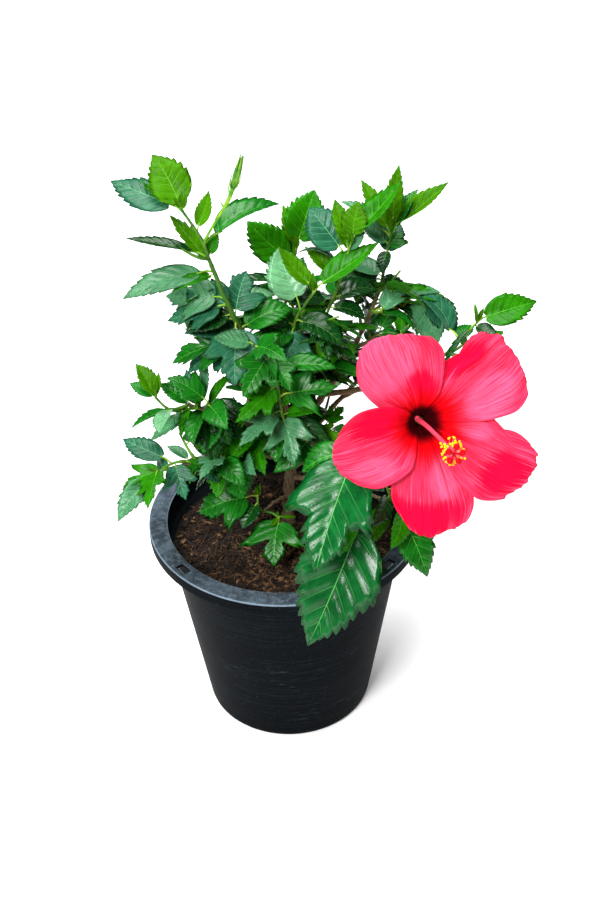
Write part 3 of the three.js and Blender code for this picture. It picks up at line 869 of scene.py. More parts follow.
def pot_profile():
    """Points of the pot's section, from its axis over the outside to the axis inside."""
    height, rim = pot_height(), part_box("pot")[1].x / MM
    wall, band, thick = POT["wall"], POT["band_radius"], POT["rim_thickness"]
    ridge = band + POT["ridge"]
    neck, lip, under = height - POT["band_height"], height - POT["rim_height"], height - thick
    corners = [
        # radius, height, rounding of the corner
        (0, 0, 0), (POT["base_radius"], 0, POT["base_round"]), (wall_radius(neck), neck, 0.6),
        (ridge, neck + 1.2, 0.5), (ridge, neck + 3.2, 0.7), (band, neck + 4.0, 0.5),
        (band, under, 0.8), (rim - thick, under, 0.8),
        (rim - thick, lip, 0.5), (rim, lip, 0.9), (rim, height, 1.8),
        (band - wall, height, 1.4), (band - wall, height - 3, 0.8),
        (wall_radius(neck) - wall, neck - 1, 1.5),
        (wall_radius(POT["floor"]) - wall, POT["floor"], 4.0), (0, POT["floor"], 0),
    ]
    return rounded_profile(corners)


def rounded_profile(corners, steps=4):
    """Replaces each corner by an arc-like curve of its rounding; long faces get mid points."""
    points = []
    for i, (r, z, size) in enumerate(corners):
        here = np.array([r, z], float)
        if size == 0 or i in (0, len(corners) - 1):
            points.append(here)
            continue
        before = np.array(corners[i - 1][:2], float) - here
        after = np.array(corners[i + 1][:2], float) - here
        start = here + before / np.linalg.norm(before) * min(size, 0.45 * np.linalg.norm(before))
        end = here + after / np.linalg.norm(after) * min(size, 0.45 * np.linalg.norm(after))
        for t in np.linspace(0, 1, steps + 1):
            points.append((1 - t) ** 2 * start + 2 * t * (1 - t) * here + t * t * end)
    return np.array(points)


def lathe(profile, segments):
    """Turns a profile of (radius, height) about the axis; ends on the axis become one point."""
    points, rows = [], []
    turn = np.arange(segments) * 2 * math.pi / segments
    for radius, height in profile:
        if radius < 1e-6:
            rows.append([len(points)])
            points.append((0.0, 0.0, height))
        else:
            rows.append(list(range(len(points), len(points) + segments)))
            points.extend(zip(radius * np.cos(turn), radius * np.sin(turn), [height] * segments))
    faces = []
    for low, high in zip(rows, rows[1:]):
        for i in range(segments):
            j = (i + 1) % segments
            if len(low) == 1:
                faces.append((low[0], high[j], high[i]))
            elif len(high) == 1:
                faces.append((low[i], low[j], high[0]))
            else:
                faces.append((low[i], low[j], high[j], high[i]))
    return np.array(points) * MM, faces


def cut_out(piece, cutters):
    """Cuts the cutters' solids out of a piece, and removes them."""
    for cutter in cutters:
        modifier = piece.modifiers.new("cut", "BOOLEAN")
        modifier.operation = "DIFFERENCE"
        modifier.solver = "EXACT"
        modifier.object = cutter
    graph = bpy.context.evaluated_depsgraph_get()
    mesh = bpy.data.meshes.new_from_object(piece.evaluated_get(graph))
    piece.modifiers.clear()
    piece.data = mesh
    for cutter in cutters:
        bpy.data.objects.remove(cutter)


def cutter_object(points, faces):
    mesh = bpy.data.meshes.new("cutter")
    mesh.from_pydata(np.asarray(points).tolist(), [], faces)
    return linked_object("cutter", mesh)


def block(centre, size, azimuth):
    """A box turned about the pot's axis, with its upright edges rounded off."""
    maker = bmesh.new()
    bmesh.ops.create_cube(maker, size=1.0, matrix=Matrix.Diagonal((*size, 1.0)))
    upright = [e for e in maker.edges if abs((e.verts[0].co - e.verts[1].co).z) > size[2] * 0.9]
    bmesh.ops.bevel(maker, geom=upright, offset=SLOTS["corner"] * MM, segments=4, profile=0.5,
                    affect="EDGES")
    turn = Matrix.Rotation(math.radians(azimuth), 4, "Z")
    maker.transform(turn @ Matrix.Translation(centre))
    return cutter_object(*taken_from(maker))


def build_pot(settings):
    points, faces = lathe(pot_profile(), POT["segments"])
    pot = make_piece("nursery_pot", points, faces, [pot_plastic(settings)], ["pot"])
    slot_size = [SLOTS[side] * MM for side in ("radial", "tangential", "depth")]
    slot_place = (SLOTS["circle"] * MM, 0, pot_height() * MM)
    cutters = [block(slot_place, slot_size, azimuth) for azimuth in SLOTS["azimuths"]]
    radius, low, high = DRAINS["radius"], DRAINS["from"], DRAINS["to"]
    drain = np.array([(0, low), (radius, low), (radius, high), (0, high)])
    hole, faces = lathe(drain, DRAINS["segments"])
    for i in range(DRAINS["count"]):
        turn = np.array(Matrix.Rotation(2 * math.pi * i / DRAINS["count"], 3, "Z"))
        cutters.append(cutter_object((hole + [DRAINS["circle"] * MM, 0, 0]) @ turn.T, faces))
    cut_out(pot, cutters)
    pot.data.set_sharp_from_angle(angle=math.radians(POT["sharp_from"]))


def soil_relief(x, y):
    """Height of the soil over its mean level, in millimetres, at a place in millimetres."""
    lumps = noise.fractal(Vector((x * 0.05, y * 0.05, 3.1)), 1.0, 2.0, 4)
    crumbs = noise.fractal(Vector((x * 0.28, y * 0.28, 9.4)), 0.8, 2.1, 3)
    from_mound = x * x + (y - SOIL["mound_back"]) ** 2
    return 2.0 * lumps + 1.3 * crumbs + SOIL["mound"] * math.exp(-from_mound / SOIL["mound_spread"])


def build_soil(settings):
    top = frame_level("trunk")
    rings, segments = SOIL["rings"], SOIL["segments"]
    edge = wall_radius(top) - POT["wall"] - SOIL["gap"]
    rows, points = [], [(0.0, 0.0, top + soil_relief(0, 0))]
    for ring in range(1, rings + 1):
        radius = edge * (ring / rings) ** 0.8
        fade = 1.0 if ring < rings else SOIL["edge_relief"]
        rows.append(len(points))
        for k in range(segments):
            x, y, _ = on_circle(radius, 2 * math.pi * (k + 0.5 * (ring % 2)) / segments)
            points.append((x, y, top - SOIL["sunk"] + fade * soil_relief(x, y)))
    floor, shoulder = POT["floor"] + SOIL["gap"], SOIL["shoulder"]
    for height, gap in ((shoulder, SOIL["shoulder_gap"]), (floor, SOIL["floor_gap"])):
        rows.append(len(points))
        radius = wall_radius(height) - gap
        points += [on_circle(radius, 2 * math.pi * k / segments, height) for k in range(segments)]
    points.append((0.0, 0.0, floor))
    faces = [(0, rows[0] + k, rows[0] + (k + 1) % segments) for k in range(segments)]
    for low, high in zip(rows, rows[1:]):
        for k in range(segments):
            j = (k + 1) % segments
            faces.append((low + k, high + k, high + j, low + j))
    faces += [(len(points) - 1, rows[-1] + (k + 1) % segments, rows[-1] + k) for k in range(segments)]
    peat = crumb_finish("peat", tint(settings.soil, 0.35), tint(settings.soil, 1.25), 260.0)
    make_piece("potting_soil", np.array(points) * MM, faces, [peat], ["soil"])


def frame_level(name):
    """The lowest height of a CAD node, in millimetres."""
    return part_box(name)[0].z / MM


def crumb(rng, size, flat=0.8):
    """An uneven lump: an icosahedron whose corners are moved in or out."""
    golden = (1 + math.sqrt(5)) / 2
    corners = np.array([(-1, golden, 0), (1, golden, 0), (-1, -golden, 0), (1, -golden, 0),
                        (0, -1, golden), (0, 1, golden), (0, -1, -golden), (0, 1, -golden),
                        (golden, 0, -1), (golden, 0, 1), (-golden, 0, -1), (-golden, 0, 1)])
    corners = corners / np.linalg.norm(corners[0]) * rng.uniform(0.65, 1.2, (12, 1))
    corners *= size * np.array([1.0, rng.uniform(0.6, 1.0), flat * rng.uniform(0.5, 1.0)])
    faces = [(0, 11, 5), (0, 5, 1), (0, 1, 7), (0, 7, 10), (0, 10, 11), (1, 5, 9), (5, 11, 4),
             (11, 10, 2), (10, 7, 6), (7, 1, 8), (3, 9, 4), (3, 4, 2), (3, 2, 6), (3, 6, 8),
             (3, 8, 9), (4, 9, 5), (2, 4, 11), (6, 2, 10), (8, 6, 7), (9, 8, 1)]
    return corners, faces


def turned(points, rng, lean=180.0):
    turn = Matrix.Rotation(rng.uniform(0, 2 * math.pi), 3, "Z")
    tilt = Matrix.Rotation(math.radians(rng.uniform(-lean, lean)), 3, "X")
    return points @ np.array(turn @ tilt).T


def build_litter(settings):
    """Crumbs of peat, chips of wood and coir, and fibres lying on the soil."""
    rng = np.random.default_rng(LITTER_SEED)
    top = frame_level("trunk")
    edge = wall_radius(top) - POT["wall"] - 3
    crumbs, chips, fibres = Heap(), Heap(), Heap()

    def spot(crowd=None):
        """A place on the soil, and the soil's height there."""
        radius = edge * math.sqrt(rng.uniform(0.0, 1.0))
        x, y, _ = on_circle(radius, rng.uniform(0, 2 * math.pi))
        if crowd:
            share, closer, middle_x, middle_y = crowd
            if rng.random() < share:
                x, y = closer * x + middle_x, closer * y + middle_y
        return x, y, top + soil_relief(x, y)

    for _ in range(settings.crumbs):
        place = spot()
        size = rng.uniform(0.7, 2.4) * (1.5 if rng.random() < 0.06 else 1.0)
        points, faces = crumb(rng, size)
        crumbs.add((turned(points, rng) + place + [0, 0, 0.3 * size - 1]) * MM, faces)
    for _ in range(settings.chips):
        place = spot(CHIPS_CROWD)
        points, faces = crumb(rng, rng.uniform(1.2, 4.6), 0.3)
        points[:, 1] *= rng.uniform(0.3, 0.7)
        chips.add((turned(points, rng, 25) + place) * MM, faces)
    for _ in range(settings.fibres):
        place = spot(FIBRES_CROWD)
        reach = rng.uniform(4, 13)
        bend = rng.uniform(-0.35, 0.35)
        share = np.linspace(-0.5, 0.5, 5)
        line = np.stack([share * reach, bend * reach * (1 - 4 * share ** 2) * 0.5,
                         0.6 * np.sin(share * rng.uniform(1, 6))], axis=1)
        line = turned(line, rng, 12) + place + [0, 0, 0.5]
        fibres.add(*tube(line * MM, rng.uniform(0.16, 0.42) * MM, 4))
    for name, heap, colour, dark, light, scale, smooth in (
        ("crumbs", crumbs, settings.soil, 0.25, 2.0, 420.0, False),
        ("chips", chips, settings.chip, 0.12, 1.0, 300.0, False),
        ("fibres", fibres, settings.chip, 0.2, 0.85, 420.0, True),
    ):
        finish = crumb_finish(name, tint(colour, dark), tint(colour, light), scale)
        heap_piece(f"soil_{name}", heap, [finish], (), smooth)


# ---------------------------------------------------------------- trunk and boughs

def radius_of(points):
    """The median distance of some points from their middle."""
    return float(np.median(np.linalg.norm(points - points.mean(axis=0), axis=1)))


class Limb:
    """The centre line of a limb, a parabola through three places measured on its CAD solid."""

    def __init__(self, name, parent):
        points = cad_points(name)
        centre = points.mean(axis=0)
        axis = np.linalg.svd(points - centre)[2][0]
        share = (points - centre) @ axis
        share = (share - share.min()) / np.ptp(share)
        ends = [points[share < 0.06].mean(axis=0), points[share > 0.94].mean(axis=0)]
        if parent is None:
            turn = ends[0][2] > ends[1][2]
        else:
            turn = parent.gap(ends[0]) > parent.gap(ends[1])
        if turn:
            share = 1 - share
            ends.reverse()
        ring = points[np.abs(share - 0.5) < 0.1]
        self.middle_radius = radius_of(ring)
        self.tip_radius = radius_of(points[share > 0.94])
        foot = ends[0] if parent is None else parent.nearest(ends[0])
        handle = 2 * ring.mean(axis=0) - 0.5 * (foot + ends[1])
        t = np.linspace(0, 1, 60)[:, None]
        self.line = even_line((1 - t) ** 2 * foot + 2 * t * (1 - t) * handle + t * t * ends[1], 60)

    def gap(self, point):
        return float(np.linalg.norm(self.line - point, axis=1).min())

    def nearest(self, point):
        return self.line[np.linalg.norm(self.line - point, axis=1).argmin()]

    def at(self, share):
        return self.line[int(round(share * (len(self.line) - 1)))]

    def part(self, share):
        return self.line[:int(round(share * (len(self.line) - 1))) + 1]

    def radius(self, share):
        foot = 2 * self.middle_radius - self.tip_radius
        return foot + (self.tip_radius - foot) * np.asarray(share)


def measure_limbs():
    limbs = {}
    for name, parent in PARENTS.items():
        limbs[name] = Limb(name, limbs.get(parent))
    return limbs


def bark_relief(line, sides, seed, scars):
    """Ridges that run along a limb, with swollen rings where old leaves stood."""
    relief = np.ones((len(line), sides))
    for ring, distance in enumerate(distances(line) / MM):
        for side in range(sides):
            x, y, _ = on_circle(1.0, 2 * math.pi * side / sides)
            ridge = noise.fractal(Vector((x * 2.4, y * 2.4, distance * 0.05 + seed)), 0.9, 2.0, 3)
            knob = wave(x, y, distance * 0.3 + seed)
            relief[ring, side] += BARK_RIDGES * (ridge + 0.5 * knob)
        relief[ring] += SCAR_SWELL * math.exp(-(np.abs(distance - scars).min() / SCAR_HALF) ** 2)
    return relief


def build_limbs(settings, limbs):
    rng = np.random.default_rng(LIMB_SEED)
    bark = bark_finish(settings)
    for name, limb in limbs.items():
        if name == "bud_stalk":
            continue
        trunk = name == "trunk"
        sides = 20 if trunk else 14
        count = max(24, int(length_of(limb.line) / (1.6 * MM)))
        line = even_line(limb.line, count)
        share = np.linspace(0, 1, count)
        radii = limb.radius(share) * (1 if trunk else 1 - 0.32 * share)
        if trunk:
            wider, flare = ROOT_FLARE
            radii = radii + wider * MM * np.clip(1 - share / flare, 0, 1) ** 2
        scars = np.cumsum(rng.uniform(9, 22, 30))
        relief = bark_relief(line, sides, rng.uniform(0, 50), scars)
        wobble = np.array([[wave(s * 9, 2.0, k * 7.7 + len(name)) for k in range(3)] for s in share])
        line = line + wobble * 1.1 * MM * np.sin(math.pi * share)[:, None]
        points, faces = tube(line, radii, sides, relief)
        if trunk:
            points[:, 2] = np.maximum(points[:, 2], (frame_level("trunk") - 2) * MM)
        make_piece(f"{name}_bark", points, faces, [bark], [name])
    build_bud_stalk(limbs, stem_finish("bud_stalk", (0.07, 0.26, 0.008), (0.24, 0.45, 0.02)))


def build_bud_stalk(limbs, green):
    """A thin green stalk from the shoot's side, knobbly and thicker under the bud."""
    shoot, stalk = limbs["bough_left_top"].line[-1], limbs["bud_stalk"].line
    start = shoot + np.array(SHOOTS["left_top"][2][0]) * MM
    line = smooth_line([start, start + np.array([8, -2, 15]) * MM, stalk[-12] - np.array([2, 0, 0]) * MM,
                        stalk[-1]], 60)
    share = np.linspace(0, 1, 60)
    along = share * length_of(line) / MM
    thick = np.interp(share, [0, 0.08, 0.62, 0.72, 1], [1.2, 1.0, 1.0, 1.3, 1.5])
    knots = np.where(share > 0.6, 1 + 0.22 * np.sin(along * 0.9) ** 2, 1.0)
    heap = Heap()
    heap.add(*tube(line, thick * knots * MM, 10, None, False))
    for i, at in enumerate((0.66, 0.76, 0.86, 0.95)):
        foot = line[int(at * 59)]
        out = heading(GOLDEN_TURN * i + 190, 62)
        reach = (5 + i) * MM
        bract = smooth_line([foot, foot + out * 0.6 * reach, foot + out * reach + UP * 0.3 * reach], 6)
        heap.add(*tube(bract, np.linspace(1.0, 0.25, 6) * MM, 6))
    heap_piece("bud_stalk_green", heap, [green], ["bud_stalk"])


# ---------------------------------------------------------------- leaves

def outline_reach(form, start, angle):
    """Distance from places on the midrib to the outline, along the given angles."""
    width, rise, fall = LEAF_FORMS[form][:3]
    fullest = rise / (rise + fall)
    peak = fullest ** rise * (1 - fullest) ** fall

    def half_width(y):
        q = np.clip((y + 0.06) / 1.06, 0, 1)
        return 0.5 * width * q ** rise * (1 - q) ** fall / peak

    low, high = np.zeros_like(start), np.full_like(start, 0.9)
    for _ in range(30):
        middle = 0.5 * (low + high)
        inside = middle * np.sin(angle) < half_width(start + middle * np.cos(angle))
        low, high = np.where(inside, middle, low), np.where(inside, high, middle)
    return low


def leaf_template(form, rng):
    """A flat blade of unit length on a grid whose rows run out from the midrib as veins do.

    Returns its points, the faces of both sides, the lines of its side veins, its width, and each
    point's spread: how far it is from the midrib, and the side veins that it has passed."""
    width, _, _, teeth, depth, lobes = LEAF_FORMS[form]
    rows = list(np.linspace(0, FAN, FAN_ROWS + 1)[:-1])
    phases = [0.0] * FAN_ROWS
    for tooth in range(teeth):
        for phase in TOOTH_PHASES:
            rows.append(FAN + (1 - FAN) * (tooth + phase) / teeth)
            phases.append(phase)
    rows, count = np.array(rows), len(rows)
    past = np.clip((rows - FAN) / (1 - FAN), 0, 1)
    passed = SIDE_VEINS * past + 2 * np.clip(rows / FAN, 0, 1)
    start = 0.94 * past ** 1.04
    angle = np.radians(np.where(rows < FAN, 118 - 58 * rows / FAN, 60 - 26 * past))
    reach = outline_reach(form, start, angle)
    saw = np.interp(phases, TOOTH_PHASES, TOOTH_HEIGHTS)
    early = np.clip((rows - (0.20 if lobes else 0.28)) / 0.18, 0, 1)
    grid = np.zeros((count, 2 * HALF_COLUMNS + 1, 3))
    for sign in (-1, 1):
        depths = np.repeat(rng.uniform(0.5, 1.5, teeth), len(TOOTH_PHASES))
        depths = np.concatenate([np.zeros(FAN_ROWS), depths])
        jag = 1 + depth * early * depths * (1.6 * saw - 0.5) * (1 - 0.3 * past)
        lobe = lobes * rng.uniform(0.8, 1.15)
        lobing = 1 + lobe * (np.exp(-((rows - 0.33) / 0.075) ** 2)
                             - 1.15 * np.exp(-((rows - 0.50) / 0.08) ** 2))
        for k, column in enumerate(BLADE_COLUMNS):
            r = reach * column * lobing * (1 + (jag - 1) * column ** 3)
            x = sign * r * np.sin(angle)
            y = start + r * np.cos(angle) + 0.10 * r * column
            quilt = (4 * column * (1 - column) + 0.12 * column) ** 0.7
            pillow = np.abs(np.sin(math.pi * passed)) * quilt
            grid[:, HALF_COLUMNS + sign * k] = np.stack([x, y, 0.016 * pillow], axis=1)
    # The fan's rows share one place on the midrib, and the last row is followed by the tip.
    index = np.zeros((count + 1, 2 * HALF_COLUMNS + 1), dtype=int)
    points, spread = [], []
    for i in range(count):
        for j in range(2 * HALF_COLUMNS + 1):
            if j == HALF_COLUMNS and 0 < i <= FAN_ROWS:
                index[i, j] = index[0, HALF_COLUMNS]
                continue
            index[i, j] = len(points)
            points.append(grid[i, j])
            spread.append((BLADE_COLUMNS[abs(j - HALF_COLUMNS)], passed[i]))
    index[count] = len(points)
    points.append(np.array([0.0, 1.0, 0.0]))
    spread.append((1.0, SIDE_VEINS + 2.0))
    below = np.arange(len(points))
    for top in index[:count, 1:-1].ravel():
        if below[top] == top:
            below[top] = len(points)
            points.append(points[top] - np.array([0, 0, BLADE_THICKNESS + 0.3 * points[top][2]]))
            spread.append(spread[top])
    upper, lower = [], []
    for i in range(count):
        for j in range(2 * HALF_COLUMNS):
            quad = (index[i, j], index[i, j + 1], index[i + 1, j + 1], index[i + 1, j])
            face = tuple(dict.fromkeys(quad))
            if len(face) > 2:
                upper.append(face)
                lower.append(tuple(below[v] for v in reversed(face)))
    veins = []
    for vein in range(1, SIDE_VEINS + 2):
        row = grid[np.abs(passed - vein).argmin()]
        veins += [[row[HALF_COLUMNS + sign * k] for k in range(HALF_COLUMNS)] for sign in (-1, 1)]
    return {"points": np.array(points), "upper": upper, "lower": lower, "veins": veins,
            "width": width, "spread": np.array(spread)}


def leaf_veins(template):
    """Midrib and side veins of a flat blade, standing slightly over its upper side."""
    points, faces = [], []
    y = np.linspace(-0.01, 0.94, MIDRIB_RINGS)
    half = 0.005 * (1 - y) ** 0.8 + 0.0013
    for at, w in zip(y, half):
        points += [(-w, at, 0.001), (0, at, 0.001 + 0.9 * w), (w, at, 0.001), (0, at, -0.007 - 0.9 * w)]
    for i in range(len(y) - 1):
        a = 4 * i
        for k in range(4):
            b = (k + 1) % 4
            faces.append((a + k, a + 4 + k, a + 4 + b, a + b))
    for rib in template["veins"]:
        base = len(points)
        rib = np.array(rib)
        along = rib[-1] - rib[0]
        across = unit(np.array([along[1], -along[0], 0.0]))
        for k, place in enumerate(rib):
            w = 0.0038 * (1 - 0.26 * k)
            lift = np.array([0, 0, 0.0025])
            points += [tuple(place + across * w + lift), tuple(place - across * w + lift)]
        for k in range(len(rib) - 1):
            a = base + 2 * k
            faces.append((a, a + 2, a + 3, a + 1) if rib[-1][0] > 0 else (a, a + 1, a + 3, a + 2))
    return np.array(points), faces


def bent(flat, habit):
    """Bends a flat blade: folded on its midrib, cupped, arched, swayed, twisted and rippled.

    Its chord stays on the Y axis and keeps unit length."""
    x, y, z = flat[:, 0] * habit["width"], flat[:, 1], flat[:, 2] * habit["quilt"]
    fold = math.radians(habit["fold"]) * (1 - 0.45 * np.clip(y, 0, 1))
    half = np.abs(x)
    z = z + half * np.sin(fold) - habit["cup"] * half ** 2
    z = z + habit["ripple"] * np.sin(9.5 * y + habit["phase"] + 1.6 * np.sign(x)) * (half / 0.3) ** 2
    x = x * np.cos(fold)
    u = np.linspace(-0.15, 1.1, 51)
    pitch = math.radians(habit["arch"]) * 2.2 * (0.45 - u)
    yaw = math.radians(habit["sway"]) * 2.0 * (0.5 - u)
    tangent = np.stack([np.sin(yaw) * np.cos(pitch), np.cos(yaw) * np.cos(pitch), np.sin(pitch)], axis=1)
    spine = np.concatenate([[np.zeros(3)], np.cumsum(tangent[:-1] * np.diff(u)[:, None], axis=0)])
    spine -= sample(0, u, spine)
    chord = sample(1, u, spine)
    centre = sample(y, u, spine)
    ahead = sample(y, u, tangent)
    side = np.cross(ahead, UP)
    side /= np.linalg.norm(side, axis=1)[:, None]
    normal = np.cross(side, ahead)
    turn = math.radians(habit["twist"]) * (y - 0.5)
    c, s = np.cos(turn)[:, None], np.sin(turn)[:, None]
    placed = centre + x[:, None] * (side * c + normal * s) + z[:, None] * (normal * c - side * s)
    quaternion = Vector(chord).rotation_difference(Vector((0, 1, 0)))
    return placed @ np.array(quaternion.to_matrix()).T / np.linalg.norm(chord)


class Crown:
    """Grows the shoots and leaves and gathers them by kind."""

    def __init__(self, limbs):
        self.rng = np.random.default_rng(CROWN_SEED)
        self.limbs = limbs
        self.leaves = {kind: Heap() for kind in LEAF_KINDS}
        self.veins, self.stalks, self.stems, self.twigs = Heap(), Heap(), Heap(), Heap()
        self.templates = {
            form: [leaf_template(form, self.rng) for _ in range(LEAF_VARIANTS)] for form in LEAF_FORMS
        }
        self.ribs = {form: [leaf_veins(t) for t in group] for form, group in self.templates.items()}
        self.boxes = {name: [np.array(c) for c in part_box(name)] for name in MASSES}
        self.bloom = bloom_frame()

    def mass_at(self, point, margin=0.006):
        for name, (low, high) in self.boxes.items():
            if (point > low - margin).all() and (point < high + margin).all():
                return name
        return None

    def clear_of_bloom(self, point):
        throat, turn = self.bloom
        local = (point - throat) @ turn
        radius = math.hypot(local[0], local[1])
        return not (radius < 0.100 and local[2] > -0.022 + 0.16 * radius)

    def clear_of_openings(self, foot, tip):
        """Whether a leaf leaves the places open through which the sky shows."""
        outlook = np.array(OUTLOOK)
        for share in (0.3, 0.65, 1.0):
            line = foot + (tip - foot) * share - outlook
            at = outlook + line * (OPENING_PLANE - outlook[1]) / line[1]
            for x, z, radius in OPENINGS:
                if math.hypot(at[0] - x * MM, at[2] - z * MM) < (radius + 2) * MM:
                    return False
        return True

    def leaf(self, foot, azimuth, rise, reach, width, form, kind, tilt=30.0, fold=15.0, arch=15.0,
             toward=FRONT):
        """One leaf on its stalk. `reach` is from the stem to the blade's tip, in millimetres."""
        rng = self.rng
        direction = heading(azimuth, rise)
        young = kind in ("light", "fresh", "yellow")
        share = min(0.14 if reach < 45 or young else 0.2, 13 / reach)
        base = foot + direction * reach * share * MM + UP * 0.04 * reach * MM
        tip = foot + direction * reach * MM
        blade = np.linalg.norm(tip - base)
        variant = int(rng.integers(LEAF_VARIANTS))
        template, (rib_points, rib_faces) = self.templates[form][variant], self.ribs[form][variant]
        ratio = width * MM / blade / template["width"]
        habit = {
            "width": ratio * rng.uniform(0.96, 1.04), "fold": fold, "arch": arch,
            "cup": rng.uniform(-0.1, 0.35), "ripple": rng.uniform(0.004, 0.014),
            "phase": rng.uniform(0, 6.3), "sway": rng.uniform(-9, 9), "twist": rng.uniform(-14, 14),
            "quilt": QUILTED.get(kind, 0.7),
        }
        turn = blade_frame(tip - base, tilt, toward)
        points = base + bent(template["points"], habit) @ turn.T * blade
        heap = self.leaves[kind]
        heap.add(points, template["upper"], 0)
        heap.spread.append(template["spread"])
        heap.faces.extend([tuple(i + heap.count - len(points) for i in f) for f in template["lower"]])
        heap.finishes.extend([1] * len(template["lower"]))
        ribs = base + bent(rib_points, habit) @ turn.T * blade
        self.veins.add(ribs, rib_faces)
        first = 2 * list(LEAF_KINDS).index(kind)
        finishes = [first + (i >= MIDRIB_FACES) for i in range(len(rib_faces))]
        self.veins.finishes[-len(rib_faces):] = finishes
        lift = UP * (0.12 * reach * MM) * share
        line = smooth_line([foot, 0.5 * (foot + base) + lift, base, base + (tip - base) * 0.05], 7)
        size = np.linspace(0.95, 0.6, 7) * MM * (0.75 if reach < 40 else 1.0)
        self.stalks.add(*tube(line, size, 5))
        mass = self.mass_at(0.5 * (base + tip), 0.02)
        if mass:
            heap.masses.add(mass)

    def stem(self, line, start, end, heap=None):
        count = max(6, int(length_of(line) / (3.0 * MM)))
        line = even_line(line, count)
        share = np.linspace(0, 1, count)
        along = share * length_of(line) / MM
        knots = 1 + 0.2 * np.exp(-(((along % 13) - 6.5) / 1.4) ** 2)
        (heap or self.stems).add(*tube(line, (start + (end - start) * share) * knots, 8))

    def grow_shoots(self):
        for bough, share, offsets, leaves in SHOOTS.values():
            limb = self.limbs[bough]
            tip = limb.line[-1]
            start = limb.at(share)
            line = smooth_line([start] + [tip + np.array(o) * MM for o in offsets], 40)
            self.stem(line, 0.62 * limb.tip_radius if share > 0.95 else 1.5 * MM, 0.85 * MM)
            whole = np.concatenate([limb.part(share)[:-1], line])
            below = (length_of(whole) - distances(whole)) / MM
            for down, *leaf in leaves:
                self.leaf(whole[np.abs(below - down).argmin()], *leaf)
            self.tip_leaves(line)

    def tip_leaves(self, line):
        """The furled leaves and leaf buds at a shoot's end."""
        rng = self.rng
        ahead = unit(line[-1] - line[-4])
        azimuth = rng.uniform(0, 360)
        rise = slope(ahead)
        for i in range(3):
            self.leaf(line[-1 - i], azimuth + GOLDEN_TURN * i, min(80, rise + rng.uniform(0, 20)),
                      rng.uniform(9, 16), rng.uniform(3, 5), "lance", "light", 0, 45, 10)

    def grow_twigs(self):
        for bough, (first, last, count, reach, leaves, old, young) in TWIGS.items():
            limb = self.limbs[bough]
            facing = bearing(limb.line[-1] - limb.line[0])
            for i in range(count):
                share = first + (last - first) * (i + 0.5 * self.rng.random()) / max(count - 1, 1)
                self.grow_twig(limb, min(share, 1.0), facing + GOLDEN_TURN * (i + 0.4), reach, leaves,
                               old, young)
            self.grow_twig(limb, 1.0, facing, reach * 0.9, leaves, old, young)

    def grow_twig(self, limb, share, azimuth, reach, count, old, young):
        rng = self.rng
        foot = limb.at(share)
        outward = unit(np.array([foot[0], foot[1], 0]) + 1e-6)
        side = heading(azimuth + rng.uniform(-15, 15), rng.uniform(20, 50))
        ahead = unit(side + 0.45 * outward)
        length = reach * rng.uniform(0.75, 1.2) * MM
        for _ in range(2):
            end = foot + ahead * length
            if self.mass_at(end, 0.004) and self.clear_of_bloom(end):
                break
            length *= 0.55
        else:
            return
        middle = 0.5 * (foot + end) - UP * 0.08 * length
        line = smooth_line([foot, middle, end], 16)
        self.stem(line, 1.5 * MM, 0.8 * MM, self.twigs if share < 0.7 else self.stems)
        turn = rng.uniform(0, 360)
        for i in range(count):
            at = 0.2 + 0.8 * i / max(count - 1, 1)
            age = 1 - 0.75 * at
            self.rule_leaf(line[int(at * 15)], turn + GOLDEN_TURN * i, ahead, outward, age,
                           young + (old - young) * age)

    def rule_leaf(self, foot, azimuth, ahead, outward, age, reach):
        rng = self.rng
        around = heading(azimuth, 0)
        around = unit(around - 0.5 * (around @ ahead) * ahead)
        sag = -0.65 * age + 0.25 * (1 - age) + rng.uniform(-0.12, 0.12)
        direction = unit(around * 0.8 + outward * 0.55 + ahead * 0.25 + UP * sag)
        reach = reach * rng.uniform(0.85, 1.2)
        for _ in range(3):
            tip = foot + direction * reach * MM
            if self.mass_at(tip) and self.clear_of_bloom(tip) and self.clear_of_openings(foot, tip):
                break
            reach *= 0.8
        else:
            return
        if not self.clear_of_bloom(0.5 * (foot + tip)):
            return
        draw = rng.random()
        kind = next(kind for kind, end in (OLD_KINDS if age > 0.55 else YOUNG_KINDS) if draw < end)
        form = "lobed" if rng.random() < 0.5 else "oval" if rng.random() < 0.6 else "broad"
        if age > 0.6 and rng.random() < 0.35:
            form = "deep"
        width = reach * LEAF_FORMS[form][0] * rng.uniform(0.66, 0.88)
        self.leaf(foot, bearing(direction), slope(direction), reach, width, form, kind,
                  rng.uniform(-18, 18), rng.uniform(8, 30), rng.uniform(8, 32),
                  unit(UP + 0.6 * outward))


